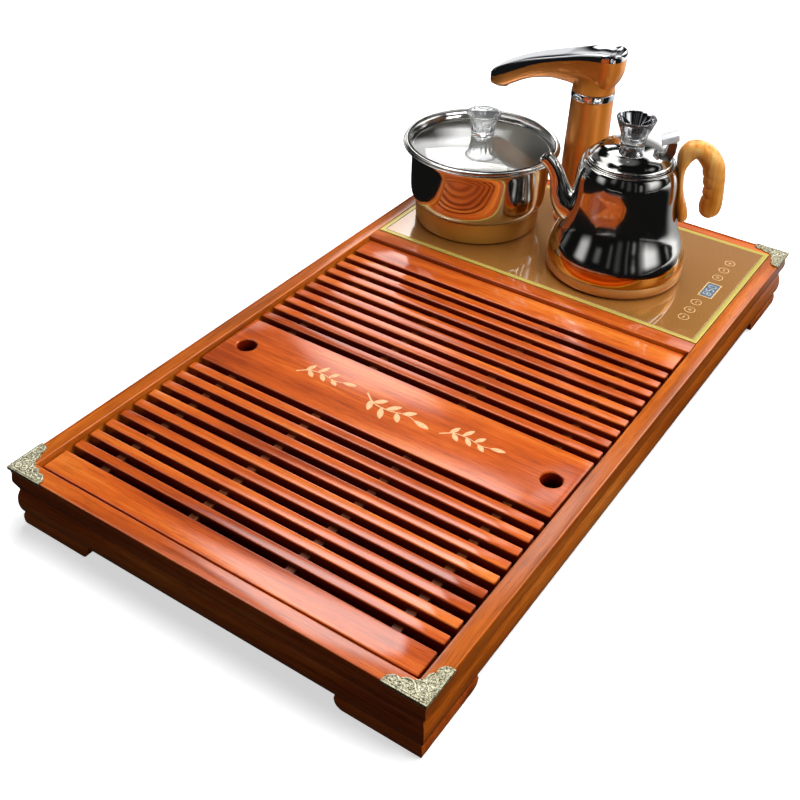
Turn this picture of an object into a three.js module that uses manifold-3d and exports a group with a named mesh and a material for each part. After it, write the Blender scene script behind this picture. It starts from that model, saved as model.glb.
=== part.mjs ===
// Gongfu tea tray with a slatted deck, a built-in hob, a swivel tap, a pot and a kettle.
// Millimetres, +Z up, +Y along the tray away from the slatted end, origin under the middle of the tray
// on the surface that it stands on.

import * as THREE from "three";
import { mergeVertices } from "three/addons/utils/BufferGeometryUtils.js";
import Module from "manifold-3d";

const wasm = await Module();
wasm.setup();

// Tray frame
const trayLength = 727;
const trayWidth = 404;
const trayHeight = 64;
const railWidth = 15.5;
const railDepth = 50;
const arrisRadius = 1.2;
const mouldingDepth = 3.5;
const crossbarWidth = 17.5;
const boardThickness = 5;

// Clearances
const seatGap = 0.3;
const deckGap = 0.9;
const hobGap = 0.5;
const overrun = 2;

// Bracket feet
const footLeg = 76;
const footThickness = 17;
const footInset = 1.6;
const footEndRadius = 11;
const footFillet = 2;

// Corner guards
const guardLeg = 36;
const guardBand = 6.4;
const guardThickness = 0.8;
const guardLip = 2.2;
const guardFit = 0.1;

// Slatted deck
const deckRecess = 4;
const slatWidth = 9.6;
const slatThickness = 15;
const slatsPerGroup = 9;
const slatArris = 1;
const endPlankWidth = 28.6;
const centrePlankWidth = 80.2;
const fingerHoleRadius = 9.5;
const fingerHoleInset = 22.6;
const battenWidth = 8;
const battenHeight = 15;
const battenTopDrop = 5;
const battenEndInset = 12.8;
const battenSideInset = 40.1;
const battenCount = 4;

// Water pan under the deck
const panWall = 1.6;
const panFlange = 10.1;
const drainRadius = 7;
const drainBore = 5;
const drainClearance = 1;
const drainLow = 7;

// Hob let into the far end
const hobDepth = 209.5;
const glassAboveFrame = 0.3;
const trimAboveFrame = 0.5;
const trimWidth = 5;
const trimThickness = 4.2;
const glassThickness = 4;
const housingWall = 2.4;
const housingFloor = 3;
const coilWidthShare = 1 / 3;
const coilSideGap = 5.1;
const coilThickness = 7;
const coilStemRadius = 16;
const coilDrop = 3;

// Tap
const tapPotGap = 7;
const tapSetBack = 55.25;
const columnBaseRadius = 24.5;
const columnTopRadius = 22.5;
const columnHeight = 142.7;
const columnFootRadius = 26.5;
const columnFootHeight = 4;
const ringHeight = 8;
const ringProud = 0.7;
const spigotRadius = 9;
const spigotLength = 22;
const spigotClearance = 0.4;
const headReach = 121.5;
const headTail = 30.4;
const headHalfWidth = 18.5;
const headTopRise = 50;
const headTipDrop = 22;
const outletRadius = 7.5;
const outletBoreRadius = 5;
const outletBoreDepth = 5;
const outletReachShare = 0.9;

// Pot
const potSetForward = 11.75;
const potRadius = 75.5;
const potRimFlare = 10;
const potHeight = 89;
const potBaseRadius = 69;
const potBaseHeight = 24;
const potWall = 1.6;
const potLidEdgeInset = 1.5;
const potLidRingWidth = 5;
const potLidThickness = 3;
const potLidCrown = 5;

// Kettle
const kettleTapGap = 9;
const kettleSetForward = 18.75;
const kettleAngle = 22;
const kettleBaseRadius = 72;
const kettleBaseHeight = 26;
const kettleWaistRadius = 48.8;
const kettleHeight = 122;
const kettleWall = 1.6;
const kettleRimRadius = 45.5;
const kettleLidRadius = 43;
const kettleLidCrown = 11.5;
const kettleLidSeat = 2.5;
const ventRadius = 2.2;
const ventCircle = 31;
const ventSpread = 14;
const kettleSkirtShare = 0.965;
const spoutReach = 88;
const spoutTopHeight = 116;
const spoutRootRadius = 17;
const spoutTipRadius = 7.3;
const spoutWall = 1.6;
const handleReach = 97;
const handleTopHeight = 150;
const handleWidth = 17;
const handleSeatGap = 0.9;

// Clear flared knobs of the two lids
const knobTopRadius = 20;
const knobHeight = 32;
const knobWall = 2.6;
const knobFloor = 7;
const knobFloorShare = 0.46;
const potKnobHeight = 30;

// Lid catch on the kettle's lid, beside the handle
const catchReach = 45;
const catchThickness = 4;
const catchTop = 36;

// Facets
const roundSides = 40;
const smallSides = 24;
const boreSides = 24;
const mergeTolerance = 1e-4;
const endShare = 0.35;
const endSteps = 2;

const woodColour = 0xb4541f;
const colours = {
  wood: { color: woodColour, roughness: 0.25, metalness: 0 },
  darkWood: { color: 0x7a3212, roughness: 0.5, metalness: 0 },
  brass: { color: 0xb9a66a, roughness: 0.4, metalness: 1 },
  pan: { color: 0x2a1d16, roughness: 0.5, metalness: 0 },
  gold: { color: 0xc9a860, roughness: 0.25, metalness: 1 },
  glass: { color: 0xb98e50, roughness: 0.08, metalness: 0.1 },
  housing: { color: 0x1d1d1f, roughness: 0.6, metalness: 0 },
  copper: { color: 0xb0663a, roughness: 0.4, metalness: 1 },
  satinGold: { color: 0xc47a2e, roughness: 0.35, metalness: 0.4 },
  chrome: { color: 0xe2e4e8, roughness: 0.06, metalness: 1 },
  clear: { color: 0xf4f6f8, roughness: 0.05, metalness: 0 },
  baseGold: { color: 0xb07a34, roughness: 0.3, metalness: 0.8 },
  bamboo: { color: 0xd9963f, roughness: 0.35, metalness: 0 },
};

// Derived places
const halfLength = trayLength / 2;
const halfWidth = trayWidth / 2;
const railBottom = trayHeight - railDepth;
const innerHalfWidth = halfWidth - railWidth;
const innerFront = -halfLength + railWidth;
const innerBack = halfLength - railWidth;
const deckTop = trayHeight - deckRecess;
const deckBottom = deckTop - slatThickness;
const hobFront = innerBack - hobDepth;
const crossbarFront = hobFront - crossbarWidth;
const deckFront = innerFront + deckGap;
const deckBack = crossbarFront - deckGap;
const deckHalfWidth = innerHalfWidth - deckGap;
const slatCount = 2 * slatsPerGroup;
const gapCount = slatCount + 2;
const openLength = deckBack - deckFront - 2 * endPlankWidth - centrePlankWidth - slatCount * slatWidth;
const slatGap = openLength / gapCount;
const slatPitch = slatWidth + slatGap;
const boardTop = railBottom + boardThickness;
const glassTop = trayHeight + glassAboveFrame;
const hobHalf = innerHalfWidth - hobGap;
const hobMiddle = (hobFront + innerBack) / 2;
const coilRadius = coilWidthShare * hobHalf;
const potRimRadius = potRadius + potRimFlare;
const potLidRingOuter = potRimRadius - potLidEdgeInset;
const potLidRingInner = potLidRingOuter - potLidRingWidth;
const potX = -(hobHalf - housingWall - coilSideGap - coilRadius);
const potY = hobMiddle - potSetForward;
const kettleY = hobMiddle - kettleSetForward;
const tapX = potX + potRimRadius + tapPotGap;
const kettleX = tapX + kettleBaseRadius + kettleTapGap;
const tapY = hobMiddle + tapSetBack;
const rad = THREE.MathUtils.degToRad;

// Geometry helpers

function toSolid(geometry) {
  const bare = geometry.clone();
  bare.deleteAttribute("normal");
  bare.deleteAttribute("uv");
  const merged = mergeVertices(bare, mergeTolerance);
  const mesh = new wasm.Mesh({
    numProp: 3,
    vertProperties: Float32Array.from(merged.attributes.position.array),
    triVerts: Uint32Array.from(merged.index.array),
  });
  return new wasm.Manifold(mesh);
}

function toGeometry(solid) {
  const mesh = solid.getMesh();
  const geometry = new THREE.BufferGeometry();
  geometry.setAttribute("position", new THREE.BufferAttribute(Float32Array.from(mesh.vertProperties), 3));
  geometry.setIndex(new THREE.BufferAttribute(Uint32Array.from(mesh.triVerts), 1));
  geometry.computeVertexNormals();
  return geometry;
}

function block(low, high) {
  const geometry = new THREE.BoxGeometry(high[0] - low[0], high[1] - low[1], high[2] - low[2]);
  geometry.translate((low[0] + high[0]) / 2, (low[1] + high[1]) / 2, (low[2] + high[2]) / 2);
  return geometry;
}

function roundBar(x, y, radius, low, high, sides = boreSides) {
  const geometry = new THREE.CylinderGeometry(radius, radius, high - low, sides);
  geometry.rotateX(Math.PI / 2);
  geometry.translate(x, y, (low + high) / 2);
  return geometry;
}

// A closed outline of [across, up] points in the XZ plane, drawn out along +Y from start to end.
function alongY(points, start, end) {
  const shape = new THREE.Shape(points.map(([x, z]) => new THREE.Vector2(x, z)));
  const geometry = new THREE.ExtrudeGeometry(shape, { depth: end - start, bevelEnabled: false });
  geometry.rotateX(Math.PI / 2);
  geometry.translate(0, end, 0);
  return geometry;
}

// A closed outline of [x, y] points drawn upwards from low to high.
function upwards(points, low, high) {
  const shape = new THREE.Shape(points.map(([x, y]) => new THREE.Vector2(x, y)));
  const geometry = new THREE.ExtrudeGeometry(shape, { depth: high - low, bevelEnabled: false });
  geometry.translate(0, 0, low);
  return geometry;
}

// A profile of [radius, height] points turned about a vertical axis.
function turned(points, sides = roundSides) {
  const geometry = new THREE.LatheGeometry(points.map(([r, z]) => new THREE.Vector2(r, z)), sides);
  geometry.rotateX(Math.PI / 2);
  return outward(geometry);
}

// Makes the faces of a closed body point out.
function outward(geometry) {
  const solid = mergeVertices(stripped(geometry), mergeTolerance);
  const position = solid.attributes.position;
  const index = solid.index.array;
  const kept = [];
  let volume = 0;
  const a = new THREE.Vector3();
  const b = new THREE.Vector3();
  const c = new THREE.Vector3();
  for (let i = 0; i < index.length; i += 3) {
    if (index[i] === index[i + 1] || index[i + 1] === index[i + 2] || index[i] === index[i + 2]) continue;
    kept.push(index[i], index[i + 1], index[i + 2]);
    a.fromBufferAttribute(position, index[i]);
    b.fromBufferAttribute(position, index[i + 1]);
    c.fromBufferAttribute(position, index[i + 2]);
    volume += a.dot(b.cross(c));
  }
  if (volume < 0) {
    for (let i = 0; i < kept.length; i += 3) {
      [kept[i], kept[i + 1]] = [kept[i + 1], kept[i]];
    }
  }
  solid.setIndex(kept);
  return solid;
}

function stripped(geometry) {
  const bare = geometry.clone();
  bare.deleteAttribute("normal");
  bare.deleteAttribute("uv");
  return bare;
}

// A closed skin over a row of rings with equal point counts, with a flat cap at each end.
function lofted(rings) {
  const count = rings[0].length;
  const points = rings.flat();
  const faces = [];
  for (let ring = 0; ring < rings.length - 1; ring += 1) {
    for (let i = 0; i < count; i += 1) {
      const next = (i + 1) % count;
      const low = ring * count;
      const high = low + count;
      faces.push(low + i, low + next, high + next, low + i, high + next, high + i);
    }
  }
  for (const [ring, flip] of [[0, true], [rings.length - 1, false]]) {
    const middle = new THREE.Vector3();
    rings[ring].forEach((point) => middle.add(point));
    middle.divideScalar(count);
    points.push(middle);
    for (let i = 0; i < count; i += 1) {
      const here = ring * count + i;
      const next = ring * count + ((i + 1) % count);
      faces.push(...(flip ? [next, here, points.length - 1] : [here, next, points.length - 1]));
    }
  }
  const geometry = new THREE.BufferGeometry();
  geometry.setAttribute("position", new THREE.Float32BufferAttribute(points.flatMap((p) => [p.x, p.y, p.z]), 3));
  geometry.setIndex(faces);
  return outward(geometry);
}

// A tube of elliptical rings along a curve in the kettle's plane. Each station is
// [distance out, height, half thickness in the plane]; depth is the half width across the plane.
function ovalSweep(stations, depth, steps, sides, roundEnds) {
  const curve = new THREE.CatmullRomCurve3(stations.map(([out, up]) => new THREE.Vector3(out, 0, up)));
  const half = new THREE.CatmullRomCurve3(stations.map(([, , size], i) => new THREE.Vector3(i, size, 0)));
  const rings = [];
  for (let step = 0; step <= steps; step += 1) {
    const t = step / steps;
    const centre = curve.getPoint(t);
    const tangent = curve.getTangent(t);
    const normal = new THREE.Vector3(-tangent.z, 0, tangent.x);
    const toEnd = Math.min(t, 1 - t) * steps;
    const ease = roundEnds ? Math.sqrt(Math.min(1, (toEnd + endShare) / endSteps)) : 1;
    const size = half.getPoint(t).y * ease;
    const width = (depth ?? size) * ease;
    const ring = [];
    for (let i = 0; i < sides; i += 1) {
      const angle = (i / sides) * 2 * Math.PI;
      const point = centre.clone().addScaledVector(normal, size * Math.cos(angle));
      point.y += width * Math.sin(angle);
      ring.push(point);
    }
    rings.push(ring);
  }
  return lofted(rings);
}

// The object

const root = new THREE.Group();

function add(parent, name, colour, geometry) {
  const mesh = new THREE.Mesh(geometry, new THREE.MeshStandardMaterial(colours[colour]));
  mesh.name = name;
  parent.add(mesh);
  return mesh;
}

function cut(geometry, ...tools) {
  return tools.reduce((solid, tool) => solid.subtract(toSolid(tool)), toSolid(geometry));
}

// Frame rails: an outline of [distance in from the outer face, height], the same on all four sides.
// The moulding is [inset share of its depth, drop share of the rail's depth]: an ovolo, a fillet and a torus.
const mouldingShares = [
  [0, 0.284],
  [0.09, 0.332],
  [0.37, 0.384],
  [0.71, 0.436],
  [1, 0.472],
  [1, 0.506],
  [0.66, 0.56],
  [0.4, 0.62],
  [0.21, 0.69],
  [0.13, 0.77],
  [0.16, 0.84],
  [0.31, 0.908],
  [0.6, 0.968],
  [0.86, 1],
];
function railOutline() {
  const points = [];
  const arcSteps = 3;
  for (let i = 0; i <= arcSteps; i += 1) {
    const angle = (i / arcSteps) * (Math.PI / 2);
    points.push([arrisRadius * (1 - Math.sin(angle)), trayHeight - arrisRadius * (1 - Math.cos(angle))]);
  }
  mouldingShares.forEach(([inset, drop]) => {
    points.push([inset * mouldingDepth, trayHeight - drop * railDepth]);
  });
  points.push([railWidth, railBottom], [railWidth, trayHeight]);
  return points;
}

// One rail with its outer face at -X, running along Y, mitred at 45 degrees at both ends.
function rail(length) {
  const half = length / 2;
  const bar = alongY(railOutline(), -half, half);
  const mitre = [
    [-overrun, -half - overrun],
    [railWidth + overrun, railWidth + overrun - half],
    [railWidth + overrun, -half - 2 * overrun],
    [-overrun, -half - 2 * overrun],
  ];
  const farMitre = mitre.map(([x, y]) => [x, -y]).reverse();
  const low = railBottom - overrun;
  const high = trayHeight + overrun;
  return cut(bar, upwards(mitre, low, high), upwards(farMitre, low, high));
}

function placedRail(name, length, angle, x, y) {
  const geometry = toGeometry(rail(length));
  geometry.rotateZ(angle);
  geometry.translate(x, y, 0);
  add(root, name, "wood", geometry);
}

const mitreGap = seatGap / 2;
placedRail("rail_left", trayLength - 2 * mitreGap, 0, -halfWidth, 0);
placedRail("rail_right", trayLength - 2 * mitreGap, Math.PI, halfWidth, 0);
placedRail("rail_front", trayWidth - 2 * mitreGap, Math.PI / 2, 0, -halfLength);
placedRail("rail_back", trayWidth - 2 * mitreGap, -Math.PI / 2, 0, halfLength);

const crossbarHalf = innerHalfWidth - seatGap;
const crossbarOutline = [
  [crossbarFront, boardTop + seatGap],
  [hobFront, boardTop + seatGap],
  [hobFront, trayHeight - arrisRadius],
  [hobFront - arrisRadius, trayHeight],
  [crossbarFront + arrisRadius, trayHeight],
  [crossbarFront, trayHeight - arrisRadius],
];
const crossbar = alongY(crossbarOutline, -crossbarHalf, crossbarHalf);
crossbar.rotateZ(Math.PI / 2);
crossbar.scale(-1, 1, 1);
add(root, "crossbar", "wood", outward(crossbar));

const boardFront = innerFront + seatGap;
const boardBack = innerBack - seatGap;
const drainY = (innerFront + crossbarFront) / 2;
add(root, "bottom_board", "darkWood", toGeometry(cut(
  block([-crossbarHalf, boardFront, railBottom], [crossbarHalf, boardBack, boardTop]),
  roundBar(0, drainY, drainRadius + drainClearance, railBottom - overrun, boardTop + overrun),
)));

// Bracket feet: an L in plan, whose two ends are rounded down to the rail above.
function foot(signX, signY) {
  const height = railBottom - seatGap;
  const plan = [
    [0, 0],
    [footLeg, 0],
    [footLeg, footThickness],
    [footThickness, footThickness],
    [footThickness, footLeg],
    [0, footLeg],
  ];
  let solid = toSolid(upwards(plan, 0, height));
  const faceSteps = 5;
  const faceTools = [];
  const endOutline = [[footLeg + overrun, -overrun]];
  for (let i = 0; i <= faceSteps; i += 1) {
    const angle = (i / faceSteps) * (Math.PI / 2);
    endOutline.push([footLeg - footEndRadius * (1 - Math.sin(angle)), footEndRadius * (1 - Math.cos(angle))]);
  }
  endOutline.splice(1, 0, [footLeg - footEndRadius, -overrun]);
  endOutline.push([footLeg + overrun, footEndRadius]);
  const endTool = alongY(endOutline, -overrun, footThickness + overrun);
  const otherTool = endTool.clone();
  otherTool.rotateZ(-Math.PI / 2);
  otherTool.scale(1, -1, 1);
  faceTools.push(endTool, outward(otherTool));
  const edge = [[-overrun, -overrun], [footFillet, -overrun], [footFillet, 0], [0, footFillet], [-overrun, footFillet]];
  const edgeTool = alongY(edge, -overrun, footLeg + overrun);
  const otherEdge = edgeTool.clone();
  otherEdge.rotateZ(-Math.PI / 2);
  otherEdge.scale(1, -1, 1);
  faceTools.push(edgeTool, outward(otherEdge));
  faceTools.forEach((tool) => {
    solid = solid.subtract(toSolid(tool));
  });
  const geometry = toGeometry(solid);
  geometry.translate(-halfWidth + footInset, -halfLength + footInset, 0);
  geometry.scale(-signX, -signY, 1);
  return outward(geometry);
}
add(root, "foot_front_left", "wood", foot(-1, -1));
add(root, "foot_front_right", "wood", foot(1, -1));
add(root, "foot_back_left", "wood", foot(-1, 1));
add(root, "foot_back_right", "wood", foot(1, 1));

// Corner guards: a thin plate with a hollow inner edge, folded down over the two outer faces.
function guard(signX, signY) {
  const outer = -guardFit - guardThickness;
  const hollow = [];
  const hollowSteps = 8;
  for (let i = 0; i <= hollowSteps; i += 1) {
    const angle = (i / hollowSteps) * (Math.PI / 2);
    hollow.push([
      guardLeg - (guardLeg - guardBand) * Math.sin(angle),
      guardLeg - (guardLeg - guardBand) * Math.cos(angle),
    ]);
  }
  hollow.reverse();
  const plan = [[outer, outer], [guardLeg, outer], ...hollow.slice().reverse(), [outer, guardLeg]];
  const plate = upwards(plan, trayHeight, trayHeight + guardThickness);
  const lipLow = trayHeight - guardLip;
  const lipOne = block([outer, outer, lipLow], [guardLeg, -guardFit, trayHeight + guardThickness]);
  const lipTwo = block([outer, outer, lipLow], [-guardFit, guardLeg, trayHeight + guardThickness]);
  const solid = toSolid(plate).add(toSolid(lipOne)).add(toSolid(lipTwo));
  const geometry = toGeometry(solid);
  geometry.translate(-halfWidth, -halfLength, 0);
  geometry.scale(-signX, -signY, 1);
  return outward(geometry);
}
add(root, "corner_guard_front_left", "brass", guard(-1, -1));
add(root, "corner_guard_front_right", "brass", guard(1, -1));
add(root, "corner_guard_back_left", "brass", guard(-1, 1));
add(root, "corner_guard_back_right", "brass", guard(1, 1));

// Water pan: a flanged basin with a drain in its floor, which carries the deck on its flange.
function waterPan() {
  const flangeTop = deckBottom - seatGap;
  const outX = innerHalfWidth - hobGap;
  const front = innerFront + hobGap;
  const back = crossbarFront - hobGap;
  const floorLow = boardTop + seatGap;
  const tub = block(
    [-outX + panFlange, front + panFlange, floorLow],
    [outX - panFlange, back - panFlange, flangeTop],
  );
  const flange = block([-outX, front, flangeTop - panWall], [outX, back, flangeTop]);
  const hollow = block(
    [-outX + panFlange + panWall, front + panFlange + panWall, floorLow + panWall],
    [outX - panFlange - panWall, back - panFlange - panWall, flangeTop + overrun],
  );
  const outlet = roundBar(0, drainY, drainRadius, drainLow, floorLow + panWall / 2);
  const bore = roundBar(0, drainY, drainBore, drainLow - overrun, floorLow + panWall + overrun);
  const shell = toSolid(tub).add(toSolid(flange)).subtract(toSolid(hollow));
  return toGeometry(shell.add(toSolid(outlet)).subtract(toSolid(bore)));
}
add(root, "water_pan", "pan", waterPan());

// Hob: housing on the bottom board, glass in a gold trim.
const trimFront = hobFront + hobGap;
const trimBack = innerBack - hobGap;
const trimLow = trayHeight + trimAboveFrame - trimThickness;
const housingTop = trimLow - seatGap;
const housingInner = trimWidth + seatGap;
const housingLow = boardTop + seatGap;
add(root, "hob_housing", "housing", toGeometry(cut(
  block([-hobHalf, trimFront, housingLow], [hobHalf, trimBack, housingTop]),
  block(
    [-hobHalf + housingWall, trimFront + housingWall, housingLow + housingFloor],
    [hobHalf - housingWall, trimBack - housingWall, housingTop + overrun],
  ),
)));
add(root, "hob_trim", "gold", toGeometry(cut(
  block([-hobHalf, trimFront, trimLow], [hobHalf, trimBack, trimLow + trimThickness]),
  block(
    [-hobHalf + trimWidth, trimFront + trimWidth, trimLow - overrun],
    [hobHalf - trimWidth, trimBack - trimWidth, trimLow + trimThickness + overrun],
  ),
)));
add(root, "hob_glass", "glass", block(
  [-hobHalf + housingInner, trimFront + housingInner, glassTop - glassThickness],
  [hobHalf - housingInner, trimBack - housingInner, glassTop],
));

// Induction coils: a flat ring of winding on a stem that stands on the housing's floor.
function coil() {
  const low = housingLow + housingFloor + seatGap;
  const top = glassTop - glassThickness - coilDrop;
  return turned([
    [0, low],
    [coilStemRadius, low],
    [coilStemRadius, top - coilThickness],
    [coilRadius, top - coilThickness],
    [coilRadius, top],
    [0, top],
  ], smallSides);
}
for (const [name, x, y] of [["coil_pot", potX, potY], ["coil_kettle", kettleX, kettleY]]) {
  const mesh = add(root, name, "copper", coil());
  mesh.position.set(x, y, 0);
}

// Slatted deck, one body that lifts out.
const deck = new THREE.Group();
root.add(deck);
const battenTop = deckTop - battenTopDrop;
const battenLow = battenTop - battenHeight;
const battenSpan = 2 * (deckHalfWidth - battenSideInset);
const battenX = [];
for (let i = 0; i < battenCount; i += 1) battenX.push((i / (battenCount - 1) - 0.5) * battenSpan);

// A bar across the tray from y low to y high, notched from below for the battens.
function deckBar(low, high) {
  const outline = [
    [low, deckBottom],
    [high, deckBottom],
    [high, deckTop - slatArris],
    [high - slatArris, deckTop],
    [low + slatArris, deckTop],
    [low, deckTop - slatArris],
  ];
  const bar = alongY(outline, -deckHalfWidth, deckHalfWidth);
  bar.rotateZ(Math.PI / 2);
  bar.scale(-1, 1, 1);
  const half = battenWidth / 2 + seatGap;
  const notches = battenX.map((x) => block(
    [x - half, low - overrun, deckBottom - overrun],
    [x + half, high + overrun, battenTop + seatGap],
  ));
  return cut(outward(bar), ...notches);
}

let cursor = deckFront;
const groupStarts = [];
add(deck, "deck_plank_front", "wood", toGeometry(deckBar(cursor, cursor + endPlankWidth)));
cursor += endPlankWidth + slatGap;
for (let group = 0; group < 2; group += 1) {
  groupStarts.push(cursor);
  for (let i = 0; i < slatsPerGroup; i += 1) {
    const number = String(group * slatsPerGroup + i + 1).padStart(2, "0");
    add(deck, `slat_${number}`, "wood", toGeometry(deckBar(cursor, cursor + slatWidth)));
    cursor += slatPitch;
  }
  if (group === 0) {
    const holes = [-1, 1].map((side) => roundBar(
      side * (deckHalfWidth - fingerHoleInset),
      cursor + centrePlankWidth / 2,
      fingerHoleRadius,
      deckBottom - overrun,
      deckTop + overrun,
    ));
    const plank = deckBar(cursor, cursor + centrePlankWidth);
    const drilled = holes.reduce((solid, hole) => solid.subtract(toSolid(hole)), plank);
    add(deck, "deck_plank_centre", "wood", toGeometry(drilled));
    cursor += centrePlankWidth + slatGap;
  }
}
add(deck, "deck_plank_back", "wood", toGeometry(deckBar(cursor, cursor + endPlankWidth)));
battenX.forEach((x, i) => {
  add(deck, `batten_${i + 1}`, "darkWood", block(
    [x - battenWidth / 2, deckFront + battenEndInset, battenLow],
    [x + battenWidth / 2, deckBack - battenEndInset, battenTop],
  ));
});

// Tap: column and ring are fixed, head and cover turn together on the spigot.
const tap = new THREE.Group();
tap.position.set(tapX, tapY, 0);
root.add(tap);
const columnLow = glassTop + seatGap;
const columnTop = glassTop + columnHeight;
const socketRadius = spigotRadius + spigotClearance;
const socketFloor = columnTop + ringHeight - spigotLength - overrun;
add(tap, "tap_column", "satinGold", turned([
  [0, columnLow],
  [columnFootRadius, columnLow],
  [columnFootRadius, columnLow + columnFootHeight],
  [columnBaseRadius, columnLow + columnFootHeight],
  [columnTopRadius, columnTop],
  [socketRadius, columnTop],
  [socketRadius, socketFloor],
  [0, socketFloor],
], smallSides));
const ringLow = columnTop + seatGap;
const ringTop = columnTop + ringHeight;
add(tap, "tap_ring", "chrome", turned([
  [socketRadius, ringLow],
  [columnTopRadius + ringProud, ringLow],
  [columnTopRadius + ringProud, ringTop],
  [socketRadius, ringTop],
  [socketRadius, ringLow],
], smallSides));

// Head stations along -X from the tap's axis, as shares of the reach in front and of the tail behind:
// [place share, half width share, underside height share, border height share, crest height share].
// Heights are shares of the span from the outlet's face up to the top of the crest.
const headLow = ringTop + seatGap;
const outletFace = headLow - headTipDrop;
const headTop = headLow + headTopRise;
const headSpan = headTop - outletFace;
const headShares = [
  [1.0, 0.24, 0.055, 0.13, 0.195],
  [0.99, 0.46, 0.03, 0.14, 0.235],
  [0.97, 0.605, 0.01, 0.15, 0.285],
  [0.92, 0.725, 0.005, 0.17, 0.36],
  [0.85, 0.8, 0.01, 0.21, 0.45],
  [0.75, 0.855, 0.085, 0.29, 0.55],
  [0.635, 0.895, 0.21, 0.405, 0.635],
  [0.505, 0.94, 0.31, 0.51, 0.7],
  [0.37, 0.975, 0.365, 0.6, 0.76],
  [0.245, 1.0, 0.36, 0.66, 0.815],
  [0.115, 1.02, 0.345, 0.71, 0.87],
  [-0.01, 1.035, 0.34, 0.73, 0.935],
  [-0.33, 1.05, 0.345, 0.73, 0.975],
  [-0.59, 1.035, 0.38, 0.73, 0.99],
  [-0.79, 0.96, 0.49, 0.735, 0.98],
  [-0.92, 0.755, 0.6, 0.75, 0.945],
  [-1.0, 0.43, 0.68, 0.765, 0.9],
];
const headStations = headShares.map(([place, width, under, border, crest]) => ({
  x: place > 0 ? -place * headReach : -place * headTail,
  half: width * headHalfWidth,
  under: outletFace + under * headSpan,
  border: outletFace + border * headSpan,
  crest: outletFace + crest * headSpan,
}));

// Half a ring of points hanging below or standing above a level line across the head.
function archRing(x, half, level, peak, steps, exponent) {
  const ring = [];
  for (let i = 0; i <= steps; i += 1) {
    const angle = (i / steps) * Math.PI;
    const across = Math.cos(angle);
    const rise = Math.sin(angle);
    ring.push(new THREE.Vector3(
      x,
      half * Math.sign(across) * Math.abs(across) ** exponent,
      level + (peak - level) * rise ** exponent,
    ));
  }
  return ring;
}
const archSteps = 8;
const archRoundness = 0.7;
const arm = lofted(headStations.map((s) => (
  archRing(s.x, s.half, s.border, s.under, archSteps, archRoundness)
)));
const cover = lofted(headStations.map((s) => (
  archRing(s.x, s.half, s.border + seatGap, s.crest + seatGap, archSteps, archRoundness)
)));

// The neck grows from the ring's round section into the head's broad tail.
const neckRings = [];
const neckSteps = 5;
const neckTopShare = 0.62;
const neckTop = outletFace + neckTopShare * headSpan;
for (let step = 0; step <= neckSteps; step += 1) {
  const t = step / neckSteps;
  const ring = [];
  for (let i = 0; i < smallSides; i += 1) {
    const angle = (i / smallSides) * 2 * Math.PI;
    const back = Math.cos(angle) > 0 ? columnTopRadius + t * t * (headTail - columnTopRadius - ringProud) : columnTopRadius;
    const side = columnTopRadius + t * (headHalfWidth - columnTopRadius);
    ring.push(new THREE.Vector3(back * Math.cos(angle), side * Math.sin(angle), headLow + t * (neckTop - headLow)));
  }
  neckRings.push(ring);
}
const outletX = -outletReachShare * headReach;
const head = toSolid(arm)
  .add(toSolid(lofted(neckRings)))
  .add(toSolid(roundBar(0, 0, spigotRadius, headLow - spigotLength, headLow + overrun)))
  .add(toSolid(roundBar(outletX, 0, outletRadius, outletFace, outletFace + outletBoreDepth + overrun)))
  .subtract(toSolid(roundBar(outletX, 0, outletBoreRadius, outletFace - overrun, outletFace + outletBoreDepth)));
add(tap, "tap_head", "satinGold", toGeometry(head));
add(tap, "tap_cover", "chrome", cover);

// Clear flared knob: a thick-floored cup that opens upwards, as shares of its top radius and height.
const knobOuterShares = [[0.5, 0], [0.67, 0.2], [0.72, 0.45], [0.756, 0.6], [1, 1]];
const knobInnerShares = [[0.87, 1], [0.642, 0.6]];
function knob(height, low) {
  const placed = ([r, z]) => [r * knobTopRadius, low + z * height];
  const floor = low + knobFloor;
  const floorRadius = knobFloorShare * knobTopRadius;
  return turned([
    [0, low],
    ...knobOuterShares.map(placed),
    ...knobInnerShares.map(placed),
    [floorRadius + knobWall, floor + knobWall],
    [floorRadius, floor],
    [0, floor],
  ], smallSides);
}

// Pot
const pot = new THREE.Group();
pot.position.set(potX, potY, glassTop + seatGap);
root.add(pot);
const potBaseShares = [[0, 0], [0.95, 0], [0.97, 0.06], [1, 0.5], [1.01, 1], [0.9, 1], [0.9, 0.12], [0, 0.12]];
add(pot, "pot_base", "baseGold", turned(potBaseShares.map(([r, z]) => [r * potBaseRadius, z * potBaseHeight])));
const potFloor = potBaseHeight + seatGap;
const potShell = [
  [0.9, 0], [0.945, 0.02], [0.985, 0.1], [1, 0.2], [1, 0.72], [1.005, 0.86],
].map(([r, z]) => [r * potRadius, potFloor + z * (potHeight - potFloor)]);
const potRim = [
  [potRadius + potWall * 3, potHeight - potWall * 2],
  [potRimRadius - potWall, potHeight - potWall],
  [potRimRadius, potHeight - potWall / 2],
  [potRimRadius - potWall, potHeight],
  [potRadius - potWall, potHeight - potWall],
];
const potInner = potShell.slice().reverse().map(([r, z]) => [r - potWall, z + potWall]);
add(pot, "pot_body", "chrome", turned([
  [0, potFloor],
  ...potShell,
  ...potRim,
  ...potInner.slice(1),
  [0, potFloor + potWall],
]));
const potLid = new THREE.Group();
pot.add(potLid);
const lidLow = potHeight + seatGap;
const lidTop = lidLow + potLidThickness;
add(potLid, "pot_lid_ring", "chrome", turned([
  [potLidRingInner, lidLow],
  [potLidRingOuter, lidLow],
  [potLidRingOuter, lidTop - potWall],
  [potLidRingOuter - potWall, lidTop],
  [potLidRingInner, lidTop],
  [potLidRingInner, lidLow],
]));
const glassEdge = potLidRingInner - seatGap;
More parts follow.
